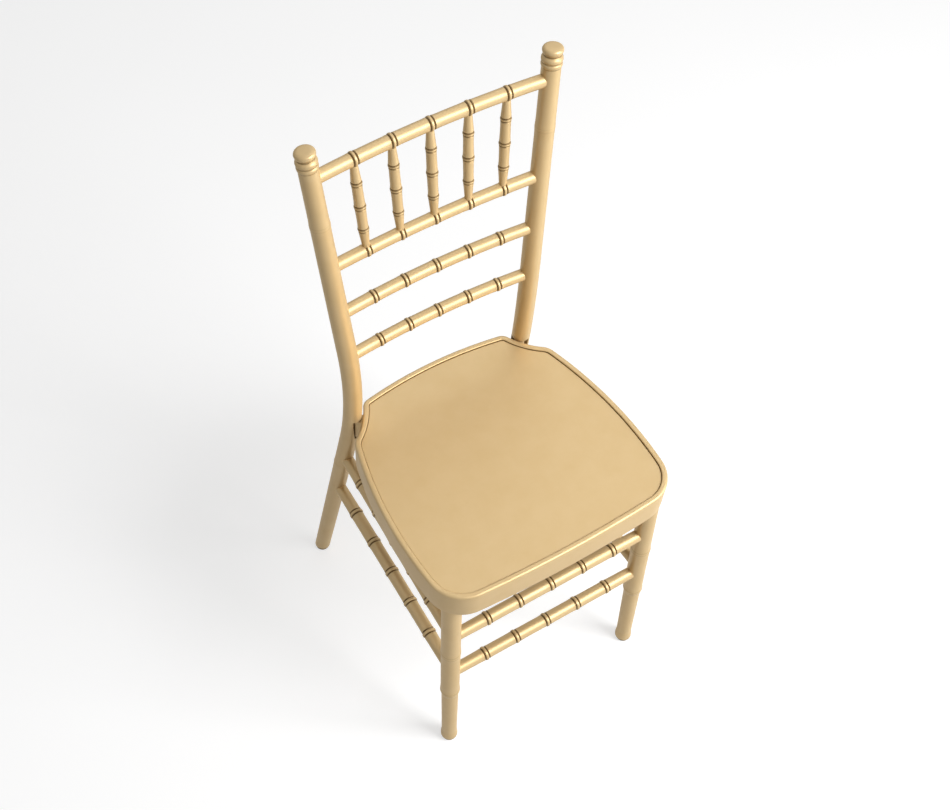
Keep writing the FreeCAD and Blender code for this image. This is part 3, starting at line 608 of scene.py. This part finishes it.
def block_rings(middle, way, half_long, half_wide, rounding, section):
    """A rounded block: the corner arcs of a rectangle, moved in by each inset of a section
    of inset and height."""
    angles = round_angles(32) + math.pi / 32.0
    square = np.array([-way[1], way[0]])
    insets, heights = np.array(section).T
    long = (half_long - rounding) * np.sign(np.cos(angles)) + rounding * np.cos(angles)
    wide = (half_wide - rounding) * np.sign(np.sin(angles)) + rounding * np.sin(angles)
    long = long[None, :] * (1.0 - insets[:, None] / half_long)
    wide = wide[None, :] * (1.0 - insets[:, None] / half_wide)
    return lifted(middle + long[:, :, None] * way + wide[:, :, None] * square, heights)


# Materials


def new_material(name):
    """An empty material and its node tree."""
    material = bpy.data.materials.new(name)
    material.use_nodes = True
    material.node_tree.nodes.clear()
    return material, material.node_tree


def surface(tree, **inputs):
    """A principled surface. Names of inputs are written with underscores."""
    inputs = {name.replace("_", " "): value for name, value in inputs.items()}
    shader = add_node(tree, "BsdfPrincipled", inputs)["BSDF"]
    add_node(tree, "OutputMaterial", {"Surface": shader})


def add_node(tree, kind, inputs=None, **settings):
    """A shader node of a kind. Each input is given a value, or a socket to link it to."""
    node = tree.nodes.new("ShaderNode" + kind)
    for name, value in settings.items():
        setattr(node, name, value)
    for name, value in (inputs or {}).items():
        if isinstance(value, bpy.types.NodeSocket):
            tree.links.new(value, node.inputs[name])
        else:
            node.inputs[name].default_value = value
    return node.outputs


def noise(tree, where, scale, detail=2.0, roughness=0.5):
    """Grey noise at coordinates."""
    inputs = {"Vector": where, "Scale": scale, "Detail": detail, "Roughness": roughness}
    return add_node(tree, "TexNoise", inputs)["Fac"]


def mixed(tree, share, low, high):
    """A share of the way from one colour to another."""
    low, high = (
        tone if isinstance(tone, bpy.types.NodeSocket) else (*tone, 1.0) for tone in (low, high)
    )
    inputs = {"Factor": share, "A": low, "B": high}
    return add_node(tree, "Mix", inputs, data_type="RGBA")["Result"]


def ranged(tree, value, low, high, start=0.0, end=1.0):
    """A value from start to end carried to low to high."""
    inputs = {"Value": value, "From Min": start, "From Max": end, "To Min": low, "To Max": high}
    return add_node(tree, "MapRange", inputs)["Result"]


def worked(tree, operation, one, two):
    """One value from two by an operation."""
    return add_node(tree, "Math", {0: one, 1: two}, operation=operation)["Value"]


def directly_seen(tree):
    """One where the camera looks, straight or by gloss or glass, and nothing for light."""
    path = add_node(tree, "LightPath")
    seen = worked(tree, "MAXIMUM", path["Is Camera Ray"], path["Is Glossy Ray"])
    return worked(tree, "MAXIMUM", seen, path["Is Transmission Ray"])


def gold_paint(settings):
    """Satin gold paint on turned wood: cloudy coat, faint grain along the piece, fine flake,
    and painted shade in grooves, cuts, gaps, the post's notch and at the feet."""
    cloud_scale, flake_scale, fibre_stretch = 34.0, 2600.0, (320.0, 320.0, 14.0)
    cloud_start, cloud_end, cloud_share = 0.35, 0.75, 0.30
    painted_shade_strength = 0.93
    material, tree = new_material("gold_paint")
    grain = add_node(tree, "Attribute", attribute_name="grain")["Vector"]
    hollow = add_node(tree, "Attribute", attribute_name="hollow")["Fac"]
    stretched = add_node(tree, "Mapping", {"Vector": grain, "Scale": fibre_stretch})["Vector"]
    fibres = noise(tree, stretched, 1.0, detail=3.0)
    cloud = noise(tree, grain, cloud_scale, detail=4.0, roughness=0.6)
    flake = noise(tree, grain, flake_scale, detail=1.0)
    thick = ranged(tree, cloud, 0.0, cloud_share, cloud_start, cloud_end)
    coat = mixed(tree, thick, settings.gold, settings.gold_deep)
    # Painted shade: the hollow attribute darkens the paint towards the shade colour in grooves,
    # gaps, the notch and at the feet.
    painted_shade = worked(tree, "MULTIPLY", hollow, painted_shade_strength)
    fine = {"Height": flake, "Strength": 0.10, "Distance": 0.0001}
    long = {"Height": fibres, "Strength": 0.16, "Distance": 0.0002}
    long["Normal"] = add_node(tree, "Bump", fine)["Normal"]
    surface(
        tree,
        Base_Color=mixed(tree, painted_shade, coat, settings.painted_shade_tone),
        Metallic=settings.metal,
        Roughness=ranged(tree, cloud, settings.roughness - 0.05, settings.roughness + 0.07),
        Normal=add_node(tree, "Bump", long)["Normal"],
        Specular_IOR_Level=settings.gloss,
        Specular_Tint=(*settings.gloss_tint, 1.0),
    )
    return material


def glide_plastic(settings):
    """Moulded plastic with scuffs: one noise for tone and roughness."""
    material, tree = new_material("glide_plastic")
    scuff = noise(tree, add_node(tree, "TexCoord")["Object"], 420.0, detail=4.0)
    scuffed = [0.7 * part for part in settings.glide_tone]
    tone = mixed(tree, scuff, settings.glide_tone, scuffed)
    surface(tree, Base_Color=tone, Roughness=ranged(tree, scuff, 0.45, 0.75))
    return material


def floor_material(studio):
    """Matt floor with the chair's shadow, brighter to the camera and the paint's gloss."""
    glow_spread = 0.010
    material, tree = new_material("studio_floor")
    seen = directly_seen(tree)
    tone = mixed(tree, seen, studio.floor_tone, studio.seen_tone)
    mottle = noise(tree, add_node(tree, "TexCoord")["Object"], 3.0)
    level = ranged(tree, mottle, studio.floor_glow, studio.floor_glow + glow_spread)
    glow = add_node(tree, "Emission", {"Strength": worked(tree, "MULTIPLY", seen, level)})
    matt = add_node(tree, "BsdfDiffuse", {"Color": tone})
    both = add_node(tree, "AddShader", {0: matt["BSDF"], 1: glow["Emission"]})
    add_node(tree, "OutputMaterial", {"Surface": both["Shader"]})
    return material


def pale_room(studio):
    """Room that lights the chair weakly but looks pale to the camera and the gloss."""
    world = bpy.data.worlds.new("studio_room")
    world.use_nodes = True
    tree = world.node_tree
    light = tree.nodes["Background"].inputs
    light["Color"].default_value = (1.0, 1.0, 1.0, 1.0)
    strength = ranged(tree, directly_seen(tree), studio.world_strength, studio.room_seen)
    tree.links.new(strength, light["Strength"])
    return world


# Seat


class CHIAVARI_OT_seat_frame(bpy.types.Operator):
    """Rounded seat frame with its rim, rebate and two rear lugs"""

    bl_idname = "chiavari.seat_frame"
    bl_label = "Seat frame"

    def execute(self, context):
        scene = context.scene
        seat = scene.chair_seat
        shells = [frame_shell(seat)]
        low, high = seat.top - seat.skirt + seat.lug_foot_rise, seat.top - seat.lug_top_drop
        bevel, step, rounding, clearance = 0.0012, 0.0003, 0.0015, 0.0002
        section = [(bevel, low), (step, low + step), (0.0, low + bevel)]
        section += [(0.0, high - bevel), (step, high - step), (bevel, high)]
        half_long, half_wide = 0.5 * seat.wall, 0.5 * seat.lug_width
        for side in SIDES.values():
            wall, way = notch_wall(scene, side)
            middle = wall - way * (half_long + clearance)
            lug = block_rings(middle, way, half_long, half_wide, rounding, section)
            shells.append(Shell(lug))
        paint_piece(scene, "seat_frame", shells)
        return {"FINISHED"}


def frame_shell(seat):
    """The seat frame by its section: skirt, rounded rim, rebate with painted shade, ledge and
    inside.
    """
    top = seat.top
    low = top - seat.skirt
    ledge = top - seat.panel_drop - seat.panel_thickness
    edge, rim, wall = seat.rim_rounding, seat.rim_width, seat.wall
    foot, small, inner = 0.0015, 0.0008, 0.0016
    # Painted shade in the rebate, for the dark gap round the panel.
    dark = 0.9
    section = rounded_turn((foot, low + foot), foot, -90, 0)
    section += [(0.0, low + 0.25 * seat.skirt), (0.0, low + 0.6 * seat.skirt)]
    section += rounded_turn((edge, top - edge), edge, 0, 90, 11)
    section += [(0.6 * rim, top)]
    section += rounded_turn((rim - inner, top - inner), inner, 90, 180)
    section += [(rim, ledge + small), (rim, ledge), (wall - small, ledge)]
    section += [(wall, ledge - small), (wall, low + small), (wall - small, low)]
    insets, heights = np.array(section).T
    rebate = (insets > 0.99 * rim) & (heights < top - 0.9 * inner) & (heights >= ledge)
    return Shell(section_rings(seat, section), np.where(rebate, dark, 0.0)[:, None], closed=True)


def notch_wall(scene, side):
    """Middle of the notch's flat wall at the height of the rim, seen from above, and the
    way square out of the scoop."""
    seat = scene.chair_seat
    way = scoop_line(seat)[2] * np.array([side, 1.0])
    axis = post_path(scene.chair_posture, side, seat.top)[0][:2]
    return axis - way * (scene.chair_posts.post_radius - seat.notch_depth), way


class CHIAVARI_OT_seat_panel(bpy.types.Operator):
    """Flat seat panel a little lower than the rim"""

    bl_idname = "chiavari.seat_panel"
    bl_label = "Seat panel"

    def execute(self, context):
        seat = context.scene.chair_seat
        high = seat.top - seat.panel_drop
        low = high - seat.panel_thickness
        inset = seat.rim_width + seat.panel_gap
        soft, bevel, dark = 0.0007, 0.0003, 0.9
        section = [(inset + bevel, low), (inset, low + bevel), (inset, low + 0.003)]
        section += rounded_turn((inset + soft, high - soft), soft, 0, 90, 5)
        section += [(inset + 3.0 * soft, high)]
        edge = section_rings(seat, section)
        middle = np.array([0.0, -0.03, high])
        scales = np.linspace(0.97, 0.03, 26)[:, None, None]
        rings = np.concatenate([edge, middle + (edge[-1:] - middle) * scales])
        # Painted shade on the panel's edge and underside, for the dark gap by the rim.
        hollow = np.where(rings[:, 0, 2] < high - 0.8 * soft, dark, 0.0)
        paint_piece(context.scene, "seat_panel", [Shell(rings, hollow[:, None])])
        return {"FINISHED"}


# Posts and legs


# Height over the finial's foot and radius, in millimetres
FINIAL_PROFILE = [
    (-3.0, 11.8), (0.0, 11.8), (7.6, 11.75), (8.4, 12.2), (9.6, 12.7), (11.4, 12.9),
    (12.8, 12.6), (13.8, 11.8), (14.6, 11.8), (15.8, 12.7), (17.4, 13.1), (19.3, 12.9),
    (20.8, 12.1), (22.1, 10.7), (22.9, 10.1), (23.7, 10.5), (25.0, 11.6), (26.7, 12.4),
    (28.5, 12.7), (30.0, 12.4), (31.2, 11.5), (32.0, 10.3), (32.5, 8.8), (32.7, 6.0),
]
# Height and half width in millimetres, and the strength of painted shade, of each groove of the
# finial
FINIAL_GROOVES = [(8.0, 1.1, 0.5), (14.2, 1.3, 0.55), (22.9, 1.4, 0.8)]
MILLIMETRE = 0.001


def finial_shell(posture, posts, side):
    """Thin ring, groove, tall collar, waist and rounded knob, turned about the post's axis.

    All but the top of the profile is blurred over a short length, so that every corner is
    a soft turned one.
    """
    heights, radii = np.array(FINIAL_PROFILE).T
    run = np.linspace(heights[0], heights[-1], 190)
    profile = np.interp(run, heights, radii)
    reach = 6
    window = np.hanning(2 * reach + 1)
    smooth = np.convolve(np.pad(profile, reach, mode="edge"), window / window.sum(), mode="valid")
    smooth[-2 * reach :] = profile[-2 * reach :]
    # Painted shade in the finial's grooves.
    grooves = sum(dark * fade((run - spot) / half) for spot, half, dark in FINIAL_GROOVES)
    run, smooth = MILLIMETRE * run, MILLIMETRE * smooth
    knob = mirrored(posture.post_knob, side)
    way = unit(knob - mirrored(posture.post_bend, side))
    centres = knob + np.multiply.outer(run - posts.finial_drop, way)
    return turned_shell(centres, way, way, run + 1.0, smooth, grooves, 64)


def post_shell(scene, side):
    """The bent post from its level foot to the finial, with the flat notch for the lug.

    Rings are cut level low down and square to the axis near the finial. In the notch a
    point lies where its ray meets the flat wall, where that is inside the round surface.
    """
    posture, posts, seat = scene.chair_posture, scene.chair_posts, scene.chair_seat
    foot = posts.glide_height
    neck = posture.post_knob[2] - posts.finial_drop
    low = seat.top - seat.skirt - seat.notch_below
    high = seat.top - seat.notch_drop
    places = [posts.post_ring_low, posts.post_ring_high]
    margin, brink, thinnest = 0.0012, 0.00004, 0.0004
    heights = [
        np.linspace(foot + margin, neck - margin, 190),
        np.arange(low - 0.002, high + 0.002, 0.0016),
        foot + np.array([0.0, 0.0003, 0.0007, 0.002, 0.003]),
        [low - brink, low + brink, high - brink, high + brink],
    ]
    heights += [np.arange(spot - 0.008, spot + 0.008, 0.0004) for spot in places]
    heights = np.unique(np.round(np.concatenate(heights), 6))
    centres, ways = post_path(posture, side, heights)
    level_end, lean_run = 0.62, 0.2
    blend = np.clip((heights - level_end) / lean_run, 0.0, 1.0)[:, None]
    cuts = unit((1.0 - blend) * UP + blend * ways)
    rise, cut = turned_rings(
        heights, places, swell=0.0005, reach=0.0055, gap=0.0022, half=0.0008, depth=0.00015
    )
    inward, painted_foot_shade = foot_rounding(heights, foot)
    radii = post_radius(posts, heights) + rise - inward
    rings, rays = bar_rings(centres, ways, cuts, radii, 96)
    wall, out = notch_wall(scene, side)
    facing, least, far = rays[:, :, :2] @ -out, 1e-3, 1.0
    reach = ((wall - centres[:, :2]) @ -out)[:, None]
    flat = np.where(facing > least, reach / np.maximum(facing, least), far)
    span = np.linalg.norm(rings - centres[:, None, :], axis=2)
    notched = ((heights > low) & (heights < high))[:, None] & (flat < span)
    span = np.where(notched, np.maximum(flat, thinnest), span)
    rings = centres[:, None, :] + rays * span[:, :, None]
    # Painted shade: the notch's inside is dark as its shadow, the ring cuts a little dark, and the
    # foot's lower edge dark as the floor's contact shadow.
    cut_dark, notch_dark = 0.12, 0.95
    hollow = np.where(notched, notch_dark, np.maximum(cut_dark * cut, painted_foot_shade)[:, None])
    return Shell(rings, hollow, straight_frame(heights, radii, 96))


class CHIAVARI_OT_back_posts(bpy.types.Operator):
    """Rear legs and back posts in one piece, with their finials"""

    bl_idname = "chiavari.back_posts"
    bl_label = "Back posts"

    def execute(self, context):
        scene = context.scene
        for name, side in SIDES.items():
            finial = finial_shell(scene.chair_posture, scene.chair_posts, side)
            paint_piece(scene, "back_post_" + name, [post_shell(scene, side), finial], sharp=50.0)
        return {"FINISHED"}


class CHIAVARI_OT_front_legs(bpy.types.Operator):
    """Turned front legs with two swollen rings each"""

    bl_idname = "chiavari.front_legs"
    bl_label = "Front legs"

    def execute(self, context):
        scene = context.scene
        posts, seat = scene.chair_posts, scene.chair_seat
        margin, into_seat = 0.0012, 0.004
        low = posts.glide_height
        high = seat.top - seat.skirt + into_seat
        places = [posts.leg_ring_low, posts.leg_ring_high]
        heights = dense_run(low + margin, high, places, reach=0.010, coarse=0.004)
        rounded = np.array([0.0, 0.0003, 0.0007, 0.0012, 0.002, 0.003, 0.004, 0.005])
        narrowing = np.array([0.008, 0.014, 0.017, 0.020, 0.024])
        heights = np.unique(np.concatenate([low + rounded, low + narrowing, heights]))
        rise, cut = turned_rings(
            heights, places, swell=0.0008, reach=0.0070, gap=0.0030, half=0.0009, depth=0.0003
        )
        inward, painted_foot_shade = foot_rounding(heights, low)
        radii = leg_radius(posts, heights) + rise - inward
        # Painted shade: the ring cuts are darkened, and so is the foot's lower edge, as the floor's
        # contact shadow.
        cut_dark = 0.3
        hollow = np.maximum(cut_dark * cut, painted_foot_shade)
        for name, side in SIDES.items():
            foot, top = leg_line(scene.chair_posture, side)
            centres = on_line(foot, top, heights)
            shell = turned_shell(centres, unit(top - foot), UP, heights, radii, hollow, 72)
            paint_piece(scene, "front_leg_" + name, [shell])
        return {"FINISHED"}


class CHIAVARI_OT_glides(bpy.types.Operator):
    """Thin bevelled glides under the four feet"""

    bl_idname = "chiavari.glides"
    bl_label = "Glides"

    def execute(self, context):
        scene = context.scene
        posture, posts = scene.chair_posture, scene.chair_posts
        plastic = glide_plastic(scene.chair_paint)
        height = posts.glide_height
        # Height and step out of the radius at each station
        stations = [(0.0, -0.0022), (0.0002, -0.0012), (0.0012, -0.0003), (0.0022, 0.0)]
        stations += [(height - 0.0004, 0.0), (height, -0.0004), (height + 0.0006, -0.0006)]
        heights, steps = np.array(stations).T
        for end in ("front", "rear"):
            for name, side in SIDES.items():
                rear = end == "rear"
                foot = post_path(posture, side, height)[0] if rear else leg_line(posture, side)[0]
                centres = foot * (1.0 - UP) + np.multiply.outer(heights, UP)
                rings, _ = bar_rings(centres, UP, UP, posts.glide_radius + steps, 48)
                node = "glide_%s_%s" % (end, name)
                build_piece(node, "_plastic", [Shell(rings)], plastic)
        return {"FINISHED"}


# Rails, spindles and stretchers


def node_places(posture, rails, height):
    """The middles of a rail's nodes: even pitches about the middle."""
    half = post_path(posture, 1.0, height)[0][0]
    return NODE_STEPS * 2.0 * half / rails.pitches


class CHIAVARI_OT_back_rails(bpy.types.Operator):
    """The four bowed rails of the back, sunk into both posts"""

    bl_idname = "chiavari.back_rails"
    bl_label = "Back rails"

    def execute(self, context):
        scene = context.scene
        rails = scene.chair_rails
        plans = [
            ("top_rail", rails.top_height, rails.top_bow),
            ("spindle_rail", rails.spindle_height, rails.spindle_bow),
            ("upper_back_rail", rails.upper_height, rails.plain_bow),
            ("lower_back_rail", rails.lower_height, rails.plain_bow),
        ]
        for node, height, bow in plans:
            paint_piece(scene, node, [back_rail_shell(scene, height, bow)])
        return {"FINISHED"}


def back_rail_shell(scene, height, bow):
    """A bowed rail with its nodes. Its run is counted along the arc from the middle."""
    posture, rails, bamboo = scene.chair_posture, scene.chair_rails, scene.chair_bamboo
    half, radius, centre = rail_arc(posture, height, bow)
    reach = half - post_radius(scene.chair_posts, height) + rails.sink
    end = radius * math.asin(reach / radius)
    places = radius * np.arcsin(node_places(posture, rails, height) / radius)
    run = dense_run(-end, end, places, reach=0.010)
    rise, hollow = node_shape(bamboo, run, places, bamboo.rail_gap)
    centres, ways = on_arc(radius, centre, radius * np.sin(run / radius))
    return turned_shell(centres, ways, ways, run, rails.rail_radius + rise, hollow, 48)


class CHIAVARI_OT_spindles(bpy.types.Operator):
    """Turned spindles between the two upper rails"""

    bl_idname = "chiavari.spindles"
    bl_label = "Spindles"

    def execute(self, context):
        scene = context.scene
        posture, rails, bamboo = scene.chair_posture, scene.chair_rails, scene.chair_bamboo
        full, slim = rails.spindle_radius, rails.spindle_end
        hidden, shy = 0.003, 0.0005
        shares = [0.0, 0.05, 0.2, 0.5, 0.8, 0.95, 1.0]
        levels = [slim, slim, full - shy, full, full - shy, slim, slim]
        arcs = [(rails.spindle_height, rails.spindle_bow), (rails.top_height, rails.top_bow)]
        ends = []
        for height, bow in arcs:
            _, radius, centre = rail_arc(posture, height, bow)
            ends.append(on_arc(radius, centre, node_places(posture, rails, height))[0])
        for i, (below, above) in enumerate(zip(*ends)):
            whole = np.linalg.norm(above - below)
            places = whole * np.array([0.247, 0.5, 0.753])
            run = dense_run(hidden, whole - hidden, places, reach=0.008, coarse=0.004)
            rise, hollow = node_shape(bamboo, run, places, bamboo.spindle_gap, scale=0.8)
            radii = np.interp(run, whole * np.array(shares), levels)
            shell = straight_bar(below, above, run, radii + rise, hollow, 40)
            paint_piece(scene, "spindle_%d" % (i + 1), [shell])
        return {"FINISHED"}


def stretcher_shell(scene, start, end):
    """A stretcher between two axes: full between its nodes, a little slimmer at its ends."""
    rails, bamboo = scene.chair_rails, scene.chair_bamboo
    whole = np.linalg.norm(end - start)
    places = whole / 2.0 + NODE_STEPS * whole / rails.pitches
    hidden, taper_start = 0.006, 0.012
    run = dense_run(hidden, whole - hidden, places, reach=0.010)
    rise, hollow = node_shape(bamboo, run, places, bamboo.stretcher_gap, scale=1.1)
    stations = [taper_start, places[0], places[-1], whole - taper_start]
    full, slim = rails.stretcher_radius, rails.stretcher_end
    radii = np.interp(run, stations, [slim, full, full, slim])
    return straight_bar(start, end, run, radii + rise, hollow, 48)


class CHIAVARI_OT_stretchers(bpy.types.Operator):
    """Two front stretchers and two on each side"""

    bl_idname = "chiavari.stretchers"
    bl_label = "Stretchers"

    def execute(self, context):
        scene = context.scene
        posture, rails = scene.chair_posture, scene.chair_rails
        for level, height in (("upper", rails.front_upper), ("lower", rails.front_lower)):
            ends = [on_line(*leg_line(posture, side), height) for side in SIDES.values()]
            paint_piece(scene, "front_stretcher_" + level, [stretcher_shell(scene, *ends)])
        plans = [
            ("upper", rails.side_upper_front, rails.side_upper_rear),
            ("lower", rails.side_lower_front, rails.side_lower_rear),
        ]
        for name, side in SIDES.items():
            for level, front, rear in plans:
                start = on_line(*leg_line(posture, side), front)
                shell = stretcher_shell(scene, start, post_path(posture, side, rear)[0])
                paint_piece(scene, "side_stretcher_%s_%s" % (name, level), [shell])
        return {"FINISHED"}


# Studio


def soft_lamp(name, x, y, z, watts, edge, target):
    """A square soft lamp whose -Z points at a target."""
    light = bpy.data.lights.new(name, "AREA")
    light.shape = "SQUARE"
    light.size = edge
    light.energy = watts
    holder = bpy.data.objects.new(name, light)
    holder.location = (x, y, z)
    holder.visible_camera = False
    reach = np.array(target) - (x, y, z)
    flat = math.hypot(reach[0], reach[1])
    holder.rotation_euler = (math.atan2(flat, -reach[2]), 0.0, math.atan2(-reach[0], reach[1]))
    return holder


def photo_camera(studio):
    """The camera that took the photograph, as worked out from it."""
    camera = bpy.data.cameras.new("photo_camera")
    camera.sensor_fit = "HORIZONTAL"
    camera.sensor_width = 36.0
    camera.lens = camera.sensor_width * studio.focal_pixels / PHOTO_WIDTH
    camera.shift_x = (PHOTO_WIDTH / 2.0 - studio.middle_across) / PHOTO_WIDTH
    camera.shift_y = (studio.middle_down - PHOTO_HEIGHT / 2.0) / PHOTO_WIDTH
    camera.clip_start = 0.05
    holder = bpy.data.objects.new("photo_camera", camera)
    holder.location = studio.camera_place
    holder.rotation_euler = (math.pi / 2.0 - studio.camera_pitch, 0.0, -studio.camera_yaw)
    return holder


class CHIAVARI_OT_studio(bpy.types.Operator):
    """White floor, soft lamps, room light and the camera"""

    bl_idname = "chiavari.studio"
    bl_label = "Studio"

    def execute(self, context):
        scene = context.scene
        studio = scene.chair_studio
        half = studio.floor_size / 2.0
        corners = [(-half, -half, 0.0), (half, -half, 0.0), (half, half, 0.0), (-half, half, 0.0)]
        mesh = bpy.data.meshes.new("studio_floor")
        mesh.from_pydata(corners, [], [(0, 1, 2, 3)])
        mesh.materials.append(floor_material(studio))
        floor = bpy.data.objects.new("studio_floor", mesh)
        scene.collection.objects.link(floor)
        scene.world = pale_room(studio)
        for name in ("key_lamp", "side_lamp", "sky_lamp"):
            lamp_object = soft_lamp(name, *getattr(studio, name), studio.lamp_target)
            scene.collection.objects.link(lamp_object)
        scene.camera = photo_camera(studio)
        scene.collection.objects.link(scene.camera)
        scene.view_settings.view_transform = "Standard"
        return {"FINISHED"}


class CHIAVARI_PT_chair(bpy.types.Panel):
    """Chair pieces in the order they are made"""

    bl_idname = "CHIAVARI_PT_chair"
    bl_label = "Chiavari chair"
    bl_space_type = "VIEW_3D"
    bl_region_type = "UI"
    bl_category = "Chair"

    def draw(self, context):
        for operator in OPERATORS:
            self.layout.operator(operator.bl_idname)


GROUPS = {
    "chair_posture": ChairPosture,
    "chair_posts": PostSizes,
    "chair_rails": RailSizes,
    "chair_bamboo": BambooSizes,
    "chair_seat": SeatSizes,
    "chair_paint": PaintSettings,
    "chair_studio": StudioSettings,
}
OPERATORS = [
    CHIAVARI_OT_seat_frame,
    CHIAVARI_OT_seat_panel,
    CHIAVARI_OT_back_posts,
    CHIAVARI_OT_front_legs,
    CHIAVARI_OT_back_rails,
    CHIAVARI_OT_spindles,
    CHIAVARI_OT_stretchers,
    CHIAVARI_OT_glides,
    CHIAVARI_OT_studio,
]
CLASSES = [*GROUPS.values(), *OPERATORS, CHIAVARI_PT_chair]


def register():
    for kind in CLASSES:
        bpy.utils.register_class(kind)
    for name, group in GROUPS.items():
        setattr(bpy.types.Scene, name, bpy.props.PointerProperty(type=group))


def unregister():
    for name in GROUPS:
        delattr(bpy.types.Scene, name)
    for kind in reversed(CLASSES):
        bpy.utils.unregister_class(kind)


def main():
    """Registers the add-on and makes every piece."""
    register()
    for operator in OPERATORS:
        getattr(bpy.ops.chiavari, operator.bl_idname.split(".")[1])()


if __name__ == "__main__":
    main()
